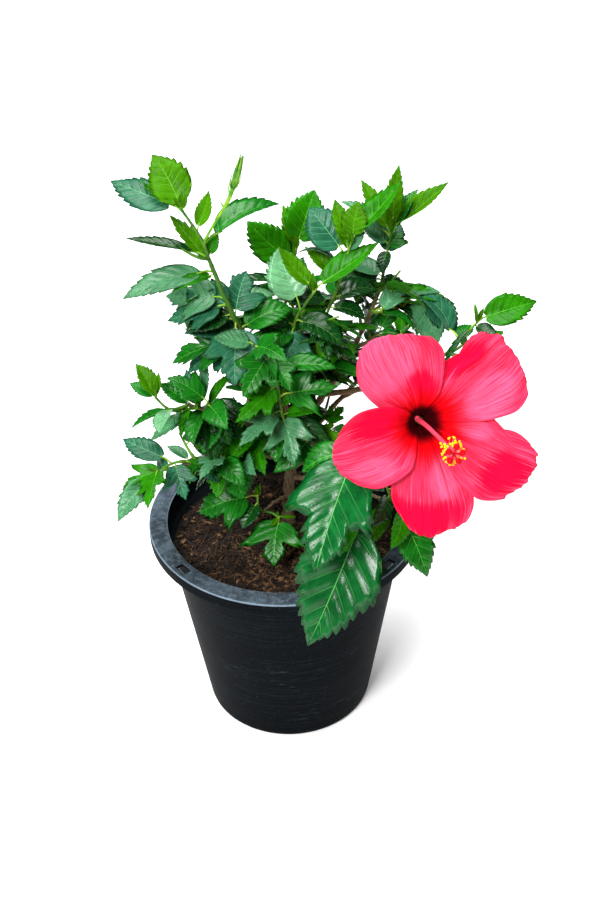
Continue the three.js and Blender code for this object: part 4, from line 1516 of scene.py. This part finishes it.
def build_foliage(limbs):
    """Grows every leaf and stem, and makes one piece of each kind."""
    crown = Crown(limbs)
    crown.grow_shoots()
    crown.grow_twigs()
    taken = set()
    for kind, heap in crown.leaves.items():
        upper, under = LEAF_KINDS[kind]
        roughness = LEAF_ROUGHNESS.get(kind, 0.19)
        materials = [leaf_finish(f"{kind}_leaf_top", upper, roughness, LEAF_GLOSS[kind]),
                     leaf_finish(f"{kind}_leaf_under", under, 0.55, 0.05)]
        nodes = sorted(heap.masses)
        taken.update(nodes)
        heap_piece(f"leaves_{kind}", heap, materials, nodes)
    stems = stem_finish("leaf_stalks", (0.13, 0.34, 0.02), (0.30, 0.45, 0.05))
    twigs = stem_finish("brown_twigs", (0.16, 0.11, 0.05), (0.10, 0.14, 0.03))
    left = sorted(set(MASSES) - taken)
    heap_piece("leaf_stalks", crown.stalks, [stems], left)
    young = stem_finish("young_stems", (0.035, 0.125, 0.010), (0.13, 0.30, 0.02))
    heap_piece("young_stems", crown.stems, [young])
    heap_piece("side_twigs", crown.twigs, [twigs])
    veins = []
    for kind, colours in LEAF_KINDS.items():
        for part, lighter in zip(("midrib", "veins"), VEIN_LIGHTNESS[kind]):
            rib = tuple(c * lighter + pale * (lighter - 1) for c, pale in zip(colours[0], RIB_PALENESS))
            veins.append(plain_finish(f"{kind}_{part}", rib, tint(rib, 1.25), 90.0))
    heap_piece("leaf_veins", crown.veins, veins)


# ---------------------------------------------------------------- bloom and bud

PETAL = {"throat_radius": 3.6, "opening": 0.24, "throat_depth": 16, "thickness": 0.5,
         "columns": 72, "rows": 44}
# Where each petal's middle lies round the throat, counted anticlockwise from the bloom's right.
PETAL_ANGLES = (37, 110, 183, 262, 329)
# On each petal, the middle and the half sizes of its pale patch of painted sheen and of its deep patch
# of painted shadow. The first number of a place runs from the clockwise margin to the other one, the
# second one outwards.
PETAL_SHEEN_AND_SHADOW = {
    1: ((0.22, 0.62, 0.24, 0.28), (0.84, 0.66, 0.20, 0.24)),
    2: ((0.66, 0.74, 0.38, 0.30), (0.26, 0.36, 0.24, 0.20)),
    3: ((0.78, 0.68, 0.16, 0.24), (0.22, 0.50, 0.26, 0.34)),
    4: ((0.76, 0.50, 0.22, 0.22), (0.45, 0.86, 0.50, 0.16)),
    5: ((0.72, 0.38, 0.16, 0.20), (0.34, 0.78, 0.26, 0.20)),
}
# Pleats that run out along each petal: place across it, half width and height in millimetres.
PETAL_PLEATS = {
    1: ((0.48, 0.09, 3.0), (-0.30, 0.12, 1.6)),
    2: ((-0.22, 0.10, 1.6), (0.34, 0.12, 1.8)),
    3: ((0.12, 0.12, 2.2), (-0.45, 0.10, 1.5)),
    4: ((0.42, 0.07, 4.5), (-0.05, 0.10, -2.0)),
    5: ((0.18, 0.08, 4.0), (-0.34, 0.10, -2.6)),
}
# Each petal: its length at five places across it, then for its clockwise and its other margin
# the half angle near the throat and at the end and the shares of the length between which it
# narrows, then the lift of the two margins, which says where it lies over its neighbours.
PETAL_SHAPES = {
    1: ((73, 77, 79, 80, 76), (42, 34, 0.55, 1.0), (36, 24, 0.55, 0.72), (4, -4)),
    2: ((66, 72, 78, 81, 73), (46, 30, 0.35, 1.0), (42, 28, 0.45, 1.0), (4, -4)),
    3: ((68, 73, 75, 74, 66), (48, 20, 0.25, 1.0), (57, 26, 0.45, 1.0), (5, 5)),
    4: ((66, 76, 80, 78, 76), (42, 24, 0.50, 1.0), (38, 30, 0.60, 1.0), (-5, -4)),
    5: ((78, 85, 86, 82, 72), (40, 30, 0.55, 1.0), (40, 18, 0.50, 0.78), (4, -4)),
}


def bloom_frame():
    """The throat's place and the turn whose columns are the bloom's right, up and forward."""
    points = cad_points("bloom_column")
    centre = points.mean(axis=0)
    axis = np.linalg.svd(points - centre)[2][0]
    petals = np.concatenate([cad_points(f"bloom_petal_{i}") for i in range(1, 6)]).mean(axis=0)
    if (centre - petals) @ axis < 0:
        axis = -axis
    share = (points - centre) @ axis
    head = points[share > share.max() - 0.001].mean(axis=0)
    throat = head - axis * 60 * MM
    side = unit(np.cross(UP, axis))
    return throat, np.column_stack([side, np.cross(axis, side), axis])


def petal_points(angle, shape, pleats, seed):
    """The middle surface of one petal, in the bloom's frame, and its spread.

    Both are grids: v runs outwards over the rows, and u from margin to margin over the columns."""
    columns, rows = PETAL["columns"], PETAL["rows"]
    lengths, *margins, lifts = shape
    points = np.zeros((rows, columns, 3))
    spread = np.zeros((rows, columns, 2))
    across = np.linspace(-1, 1, columns)
    reach = smooth_line([(u * 30, length, 0) for u, length in zip(np.linspace(-1, 1, 5), lengths)], 90)
    reach = np.interp(across * 30, reach[:, 0], reach[:, 1])
    for i, v in enumerate(np.linspace(0, 1, rows)):
        for j, u in enumerate(across):
            wide, narrow, first, last = margins[0] if u < 0 else margins[1]
            narrowing = min(1, max(0, (v - first) / (last - first)))
            end = 1 - 0.20 * max(0, (v - 0.8) / 0.2) ** 2
            turn = math.radians(angle + u * (wide + (narrow - wide) * narrowing) * end)
            edge = (0.026 * wave(u * 5, seed, 2.5) + 0.013 * wave(u * 13, seed, 7.5)
                    + 0.005 * wave(u * 37, seed, 4.5))
            radius = PETAL["throat_radius"] + reach[j] * v * (1 + edge * v ** 2)
            deep = max(0, 1 - radius / 26)
            height = PETAL["opening"] * radius - PETAL["throat_depth"] * deep ** 1.5
            height += (lifts[0] if u < 0 else lifts[1]) * abs(u) ** 1.3 * min(1, 2.2 * v) * (1 - 0.3 * v)
            crinkle = wave(u * 4.2, v * 2.6 + 5, seed * 1.7)
            frill = math.sin(u * 9 + seed * 4) * max(0, abs(u) - 0.3) + 0.9 * crinkle
            height += 6.0 * wave(u * 1.3, v * 1.6, seed * 3.3) * v * v + 2.8 * frill * v ** 3
            height += 0.40 * math.sin(u * 34 + 2 * math.sin(seed + v * 3)) * v * (1 - 0.5 * v)
            height += 1.4 * math.exp(-(u / 0.14) ** 2) * v * (1 - 0.7 * v)
            for place, half, rise in pleats:
                height += rise * math.exp(-((u - place) / half) ** 2) * math.sin(math.pi * v ** 0.8)
            height -= 1.2 * max(0, v - 0.8) ** 2 / 0.04
            points[i, j] = on_circle(radius, turn, height)
            spread[i, j] = (0.5 + 0.5 * u, v)
    return points, spread


def thick_sheet(points, thickness):
    """Closes a grid surface into a thin solid whose two faces meet at the edges.

    Returns its points and faces, and the place in the grid that each point comes from."""
    rows, columns = points.shape[:2]
    normal = np.cross(np.gradient(points, axis=1), np.gradient(points, axis=0))
    normal /= np.maximum(np.linalg.norm(normal, axis=2), 1e-9)[:, :, None]
    inner = np.ones((rows, columns))
    inner[[0, -1], :] = 0
    inner[:, [0, -1]] = 0
    half = normal * (0.5 * thickness * inner)[:, :, None]
    index = np.arange(rows * columns).reshape(rows, columns)
    behind = index.copy()
    middle = (slice(1, -1), slice(1, -1))
    behind[middle] = rows * columns + np.arange(index[middle].size).reshape(rows - 2, columns - 2)
    sheet = np.concatenate([(points + half).reshape(-1, 3), (points - half)[middle].reshape(-1, 3)])
    faces = []
    for i in range(rows - 1):
        for j in range(columns - 1):
            faces.append((index[i, j], index[i, j + 1], index[i + 1, j + 1], index[i + 1, j]))
            faces.append((behind[i, j], behind[i + 1, j], behind[i + 1, j + 1], behind[i, j + 1]))
    return sheet, faces, np.concatenate([index.ravel(), index[middle].ravel()])


def build_bloom(settings):
    throat, turn = bloom_frame()
    for (number, shape), angle in zip(PETAL_SHAPES.items(), PETAL_ANGLES):
        grid, spread = petal_points(angle, shape, PETAL_PLEATS[number], 1.37 * number)
        points, faces, places = thick_sheet(grid, PETAL["thickness"])
        points = throat + (points * MM) @ turn.T
        make_piece(f"petal_{number}", points, faces, [petal_finish(settings, number)],
                   [f"bloom_petal_{number}"], None, spread.reshape(-1, 2)[places])
    build_column(settings, throat, turn)
    build_calyx(settings, throat, turn)


def build_column(settings, throat, turn):
    """The staminal column: a slender tube with stalked anthers, and five pads on its tip."""
    rng = np.random.default_rng(COLUMN_SEED)
    share = np.linspace(0, 1, 30)
    line = smooth_line([(0, 0, -15), (0.5, -1.5, 5), (2, -6, 25), (3, -10, 42), (2, -10.5, 50),
                        (0, -9, 57)], 30)
    radii = np.interp(share, [0, 0.12, 0.3, 0.8, 1], [2.4, 2.0, 1.65, 1.3, 0.9])
    points, faces = tube(line, radii, 12)
    column = plain_finish("column", settings.column, tint(settings.column, 1.3), 60.0)
    make_piece("staminal_column", throat + points * MM @ turn.T, faces, [column],
               ["bloom_column"])
    filaments, anthers, pads = Heap(), Heap(), Heap()
    for i in range(settings.anthers):
        at = 0.74 + 0.22 * (i / settings.anthers) ** 0.8
        foot = sample(at, share, line)
        angle = math.radians(GOLDEN_TURN * i + rng.uniform(-12, 12))
        out = unit(np.array([math.cos(angle), math.sin(angle), rng.uniform(0.05, 0.4)]))
        reach = rng.uniform(6.5, 9.0)
        end = foot + out * reach
        middle = foot + out * reach * 0.5 + [0, 0, 0.6]
        filaments.add(*moved(tube(smooth_line([foot, middle, end], 5), 0.22, 5), throat, turn))
        anthers.add(*moved(anther(end, out, rng), throat, turn))
    for i in range(5):
        angle = math.radians(72 * i + 75)
        out = unit(np.array([math.cos(angle), math.sin(angle), 0.35]))
        foot = line[-1]
        bend = foot + out * 3.2 + [0, 0, 0.9]
        end = foot + out * 5.6 + [0, 0, 0.8]
        filaments.add(*moved(tube(smooth_line([foot, bend, end], 6), 0.55, 6), throat, turn), 1)
        pads.add(*moved(ball(end + out * 0.5, 2.5, rng, (1, 1, 0.85)), throat, turn))
    red = plain_finish("stigma", (0.42, 0.0, 0.004), (0.62, 0.002, 0.008), 900.0, 0.5, 0.5, 0.06)
    pink = plain_finish("filament", (0.80, 0.10, 0.16), (0.85, 0.22, 0.24), 90.0)
    pollen = plain_finish("pollen", settings.anther, tint(settings.anther, 0.75),
                          1500.0, 0.8, 0.7)
    heap_piece("filaments", filaments, [pink, red])
    heap_piece("anthers", anthers, [pollen])
    heap_piece("stigma_pads", pads, [red])


def moved(shape, throat, turn):
    points, faces = shape
    return throat + np.asarray(points) * MM @ turn.T, faces


def ball(centre, radius, rng, stretch=(1, 1, 1)):
    maker = bmesh.new()
    bmesh.ops.create_icosphere(maker, subdivisions=2, radius=1.0)
    points, faces = taken_from(maker)
    points *= rng.uniform(0.93, 1.07, (len(points), 1))
    return centre + points * radius * np.array(stretch), faces


def anther(centre, out, rng):
    """A kidney-shaped pollen sac at the end of its filament."""
    points, faces = ball(np.zeros(3), 1.0, rng, (1.35, 0.9, 0.9))
    points[:, 1] += 0.35 * points[:, 0] ** 2
    return centre + points @ blade_frame(out, rng.uniform(0, 360)).T, faces


CALYX_FOOT = -34
BRACTS = 7


def build_calyx(settings, throat, turn):
    """A fused green cup with five teeth, over a ring of thin bracts, on the bloom's stalk."""
    green = stem_finish("calyx_green", settings.calyx, tint(settings.calyx, 1.6))
    tip = frame_tip("bough_bloom")
    back = (tip - throat) @ turn / MM
    rows, columns = 22, 60
    points = np.zeros((rows, columns, 3))
    for i, v in enumerate(np.linspace(0, 1, rows)):
        for j in range(columns):
            angle = 2 * math.pi * j / (columns - 1)
            lobe = (0.5 + 0.5 * math.cos(5 * angle)) ** 1.3
            radius = np.interp(v, [0, 0.12, 0.4, 0.75, 1], [2.2, 5.0, 7.4, 9.0, 10.5 + 3.0 * lobe])
            radius *= 1 + 0.025 * math.cos(20 * angle)
            height = CALYX_FOOT + v * (18 + 11 * lobe * v ** 2)
            points[i, j] = on_circle(radius, angle, height)
    shape, faces, _ = thick_sheet(points, 0.9)
    heap = Heap()
    heap.add(*moved((shape, faces), throat, turn))
    for i in range(BRACTS):
        angle = 2 * math.pi * (i + 0.3) / BRACTS
        out = np.array(on_circle(1.0, angle))
        forward = np.array([0, 0, 1.0])
        foot = forward * -33 + out * 4.5
        line = smooth_line([foot, foot + out * 5 + forward * 6, foot + out * 6.5 + forward * 16], 8)
        heap.add(*moved(tube(line, np.linspace(1.0, 0.25, 8), 6), throat, turn))
    stalk = smooth_line([back, 0.5 * (back + [0, 0, -36]) + [0, 0.4, 0], [0, 0, -34]], 12)
    swell = np.concatenate([np.full(8, 2.1), np.linspace(2.2, 3.2, 4)])
    heap.add(*moved(tube(stalk, swell, 10), throat, turn))
    heap_piece("calyx", heap, [green], ["bloom_calyx"])


def frame_tip(name):
    """The end of a CAD limb that lies furthest from the trunk."""
    points = cad_points(name)
    foot = cad_points("trunk").mean(axis=0)
    far = points[np.linalg.norm(points - foot, axis=1).argmax()]
    return points[np.linalg.norm(points - far, axis=1) < 0.006].mean(axis=0)


def bud_sepal(angle, reach, curl):
    """One narrow, pointed sepal: a thin curved sheet wrapped round a spindle."""
    rows, columns = 16, 9
    points = np.zeros((rows, columns, 3))
    for i, v in enumerate(np.linspace(0, 1, rows)):
        body = 0.8 + 1.2 * math.sin(math.pi * min(1.0, 0.12 + 0.86 * v ** 0.8)) ** 1.2
        half = math.radians(44) * (1 - v ** 2.2) + 0.02
        for j, u in enumerate(np.linspace(-1, 1, columns)):
            turn = angle + u * half + curl * v
            radius = body * (1 + 0.10 * u * u) + 0.5 * (1 - u * u)
            points[i, j] = (radius * math.cos(turn), reach * v, radius * math.sin(turn))
    return thick_sheet(points, 0.45)[:2]


def build_bud():
    """A slender closed bud: a core, five pointed sepals over it and a whorl of thin bracts."""
    points = cad_points("flower_bud")
    stalk = cad_points("bud_stalk")
    near = np.linalg.norm(points - stalk.mean(axis=0), axis=1)
    foot = points[near < near.min() + 0.004].mean(axis=0)
    tip = points[near > near.max() - 0.003].mean(axis=0)
    reach = np.linalg.norm(tip - foot) / MM
    turn = blade_frame(tip - foot)
    heap = Heap()
    share = np.linspace(0, 1, 14)
    core = np.stack([0 * share, share * (reach - 3), 0 * share], axis=1)

    def add(shape, finish):
        heap.add(*moved(shape, foot, turn), finish)

    add(tube(core, 0.4 + 1.1 * np.sin(math.pi * (0.1 + 0.85 * share)), 16), 1)
    for i in range(5):
        add(bud_sepal(2 * math.pi * i / 5, reach * (1 - 0.03 * (i % 2)), 0.5), 0)
    for i in range(BRACTS):
        angle = 2 * math.pi * i / BRACTS + 0.2
        out = np.array([math.cos(angle), 0, math.sin(angle)])
        along = np.array([0, 1.0, 0])
        height = 8 + 3 * ((i * 5) % 3)
        spread = 2.6 + 0.6 * (i % 3)
        line = smooth_line([out * 1.4, out * 3.2 + along * 0.35 * height,
                            out * spread + along * height], 8)
        add(tube(line, np.linspace(0.6, 0.15, 8), 5), 0)
    greens = [stem_finish("bud_green", (0.03, 0.17, 0.008), (0.17, 0.38, 0.02)),
              stem_finish("bud_core", (0.01, 0.07, 0.006), (0.03, 0.13, 0.01))]
    heap_piece("bud", heap, greens, ["flower_bud"])


# ---------------------------------------------------------------- stage

FLOOR_RADIUS = 6
FLOOR_SIDES = 96
# Name, place and width of each lamp. Both face LAMP_TARGET.
SOFTBOXES = (("overhead_softbox", (-0.5, 0.6, 4.3), 2.8), ("front_softbox", (-1.4, -3.0, 3.5), 1.4))
LAMP_TARGET = (0, 0, 0.28)


def build_stage(settings):
    """Floor, lamps, world and camera."""
    floor = bpy.data.meshes.new("floor")
    rim = [on_circle(FLOOR_RADIUS, i * 2 * math.pi / FLOOR_SIDES) for i in range(FLOOR_SIDES)]
    floor.from_pydata(rim, [], [tuple(range(FLOOR_SIDES))])
    finish = Finish("floor", base_color=settings.floor, roughness=0.9, specular_ior_level=0.0,
                    emission_color=(1.0, 1.0, 1.0), emission_strength=settings.glow)
    floor.materials.append(finish.material)
    ground = linked_object("floor", floor)
    for (name, place, size), power in zip(SOFTBOXES, (settings.overhead, settings.key)):
        lamp = bpy.data.lights.new(name, "AREA")
        lamp.shape = "SQUARE"
        lamp.size = size
        lamp.energy = power
        holder = linked_object(name, lamp)
        holder.location = place
        ahead = Vector(LAMP_TARGET) - Vector(place)
        holder.rotation_euler = ahead.to_track_quat("-Z", "Y").to_euler()
    world = bpy.data.worlds.new("studio")
    world.use_nodes = True
    background = world.node_tree.nodes["Background"]
    background.inputs["Color"].default_value = (1.0, 1.0, 1.0, 1.0)
    background.inputs["Strength"].default_value = settings.sky
    bpy.context.scene.world = world
    view = bpy.context.scene.view_settings
    view.view_transform = "Standard"
    view.look = "None"
    view.exposure = 0.0
    data = bpy.data.cameras.new("camera")
    data.lens = settings.lens
    data.clip_start, data.clip_end = 0.05, 30.0
    camera = linked_object("camera", data)
    target = Vector(settings.target)
    pitch = settings.pitch
    back = Vector((0, -math.cos(pitch), math.sin(pitch)))
    camera.location = target + back * settings.distance
    look = Matrix.Rotation(math.pi / 2 - pitch, 4, "X") @ Matrix.Rotation(settings.roll, 4, "Z")
    camera.matrix_world = Matrix.Translation(camera.location) @ look
    bpy.context.scene.camera = camera


# ---------------------------------------------------------------- settings, operators and panel

def colour_property(name, description, default):
    return FloatVectorProperty(name=name, description=description, default=default, size=3,
                               subtype="COLOR", min=0.0, max=1.0)


class HibiscusPotSettings(bpy.types.PropertyGroup):
    """Finish of the pot and of the soil in it."""
    plastic: colour_property("Plastic", "Colour of the pot's plastic", (0.0016, 0.0024, 0.0032))
    # Dust colour: it also paints a sky sheen on the rim's top and, brightened, a highlight on the rim's
    # rounded edges.
    dust_and_sheen: colour_property("Dust", "Colour of dust and scuffs on the pot", (0.068, 0.092, 0.115))
    soil: colour_property("Soil", "Colour of the potting soil", (0.014, 0.008, 0.0045))
    chip: colour_property("Chips", "Colour of wood and coir in the soil", (0.19, 0.098, 0.044))
    crumbs: IntProperty(name="Crumbs", description="Crumbs of peat on the soil", default=4200, min=0)
    chips: IntProperty(name="Chips", description="Chips of wood on the soil", default=520, min=0)
    fibres: IntProperty(name="Fibres", description="Fibres on the soil", default=900, min=0)


class HibiscusPlantSettings(bpy.types.PropertyGroup):
    """Finish of the wood and the leaves."""
    bark: colour_property("Bark", "Colour of old wood", (0.21, 0.145, 0.085))
    green_wood: colour_property("Green wood", "Colour of young wood", (0.045, 0.14, 0.012))


class HibiscusBloomSettings(bpy.types.PropertyGroup):
    """Colours of the open bloom."""
    petal: colour_property("Petal", "Main colour of the petals", (0.84, 0.001, 0.038))
    # The pale petal colour also paints the petals' sheen.
    petal_pale_and_sheen: colour_property("Pale petal", "Colour towards the petals' edges", (0.90, 0.115, 0.25))
    petal_red: colour_property("Inner petal", "Colour round the throat", (0.72, 0.0, 0.004))
    throat: colour_property("Throat", "Colour of the deep throat", (0.035, 0.0, 0.001))
    column: colour_property("Column", "Colour of the column", (0.78, 0.05, 0.10))
    anther: colour_property("Anthers", "Colour of the pollen", (0.92, 0.66, 0.01))
    calyx: colour_property("Calyx", "Colour of the calyx", (0.10, 0.28, 0.02))
    anthers: IntProperty(name="Anthers", description="Number of anthers", default=44, min=0)


class HibiscusStageSettings(bpy.types.PropertyGroup):
    """Camera, lamps and floor."""
    lens: FloatProperty(name="Lens", description="Focal length in millimetres", default=60.0)
    distance: FloatProperty(name="Distance", description="From the camera to its target",
                            default=1.23, subtype="DISTANCE", unit="LENGTH")
    pitch: FloatProperty(name="Pitch", description="How far the camera looks down",
                         default=math.radians(36.3), subtype="ANGLE", unit="ROTATION")
    roll: FloatProperty(name="Roll", description="Turn of the camera about its own axis",
                        default=math.radians(-1.4), subtype="ANGLE", unit="ROTATION")
    target: FloatVectorProperty(name="Target", description="Point at the middle of the view",
                                default=(0.014, 0.0, 0.2605), size=3, subtype="XYZ", unit="LENGTH")
    floor: colour_property("Floor", "Colour of the floor", (0.86, 0.86, 0.86))
    glow: FloatProperty(name="Floor glow", description="Light that the floor gives off", default=0.25)
    overhead: FloatProperty(name="Overhead lamp", description="Power of the overhead lamp",
                            default=305.0, unit="POWER")
    key: FloatProperty(name="Front lamp", description="Power of the front lamp",
                       default=265.0, unit="POWER")
    sky: FloatProperty(name="Sky", description="Strength of the white world", default=0.07)


class HIBISCUS_OT_pot(bpy.types.Operator):
    """Build the nursery pot"""
    bl_idname = "hibiscus.build_pot"
    bl_label = "Pot"

    def execute(self, context):
        build_pot(context.scene.hibiscus_pot)
        return {"FINISHED"}


class HIBISCUS_OT_soil(bpy.types.Operator):
    """Fill the pot with soil, crumbs, chips and fibres"""
    bl_idname = "hibiscus.build_soil"
    bl_label = "Soil"

    def execute(self, context):
        build_soil(context.scene.hibiscus_pot)
        build_litter(context.scene.hibiscus_pot)
        return {"FINISHED"}


class HIBISCUS_OT_limbs(bpy.types.Operator):
    """Build the trunk and the boughs with their bark"""
    bl_idname = "hibiscus.build_limbs"
    bl_label = "Trunk and boughs"

    def execute(self, context):
        build_limbs(context.scene.hibiscus_plant, measure_limbs())
        return {"FINISHED"}


class HIBISCUS_OT_foliage(bpy.types.Operator):
    """Grow the shoots and the leaves"""
    bl_idname = "hibiscus.grow_foliage"
    bl_label = "Shoots and leaves"

    def execute(self, context):
        build_foliage(measure_limbs())
        return {"FINISHED"}


class HIBISCUS_OT_bloom(bpy.types.Operator):
    """Build the open bloom, its column and its calyx"""
    bl_idname = "hibiscus.build_bloom"
    bl_label = "Bloom"

    def execute(self, context):
        build_bloom(context.scene.hibiscus_bloom)
        return {"FINISHED"}


class HIBISCUS_OT_bud(bpy.types.Operator):
    """Build the flower bud"""
    bl_idname = "hibiscus.build_bud"
    bl_label = "Bud"

    def execute(self, context):
        build_bud()
        return {"FINISHED"}


class HIBISCUS_OT_stage(bpy.types.Operator):
    """Set up the floor, the lamps and the camera"""
    bl_idname = "hibiscus.build_stage"
    bl_label = "Stage"

    def execute(self, context):
        build_stage(context.scene.hibiscus_stage)
        return {"FINISHED"}


OPERATORS = (
    HIBISCUS_OT_stage,
    HIBISCUS_OT_pot,
    HIBISCUS_OT_soil,
    HIBISCUS_OT_limbs,
    HIBISCUS_OT_foliage,
    HIBISCUS_OT_bloom,
    HIBISCUS_OT_bud,
)
SETTINGS = {
    "hibiscus_pot": HibiscusPotSettings,
    "hibiscus_plant": HibiscusPlantSettings,
    "hibiscus_bloom": HibiscusBloomSettings,
    "hibiscus_stage": HibiscusStageSettings,
}


class HIBISCUS_PT_panel(bpy.types.Panel):
    """Lists the settings and the builders"""
    bl_idname = "HIBISCUS_PT_panel"
    bl_label = "Hibiscus"
    bl_space_type = "VIEW_3D"
    bl_region_type = "UI"
    bl_category = "Hibiscus"

    def draw(self, context):
        for name, group in SETTINGS.items():
            box = self.layout.box()
            box.label(text=name.replace("_", " ").title())
            for key in group.__annotations__:
                box.prop(getattr(context.scene, name), key)
        for operator in OPERATORS:
            self.layout.operator(operator.bl_idname)


def register():
    for group in SETTINGS.values():
        bpy.utils.register_class(group)
    for name, group in SETTINGS.items():
        setattr(bpy.types.Scene, name, PointerProperty(type=group))
    for operator in OPERATORS:
        bpy.utils.register_class(operator)
    bpy.utils.register_class(HIBISCUS_PT_panel)


def unregister():
    bpy.utils.unregister_class(HIBISCUS_PT_panel)
    for operator in reversed(OPERATORS):
        bpy.utils.unregister_class(operator)
    for name, group in SETTINGS.items():
        delattr(bpy.types.Scene, name)
        bpy.utils.unregister_class(group)


def main():
    register()
    bpy.ops.hibiscus.build_stage()
    bpy.ops.hibiscus.build_pot()
    bpy.ops.hibiscus.build_soil()
    bpy.ops.hibiscus.build_limbs()
    bpy.ops.hibiscus.grow_foliage()
    bpy.ops.hibiscus.build_bloom()
    bpy.ops.hibiscus.build_bud()


if __name__ == "__main__":
    main()
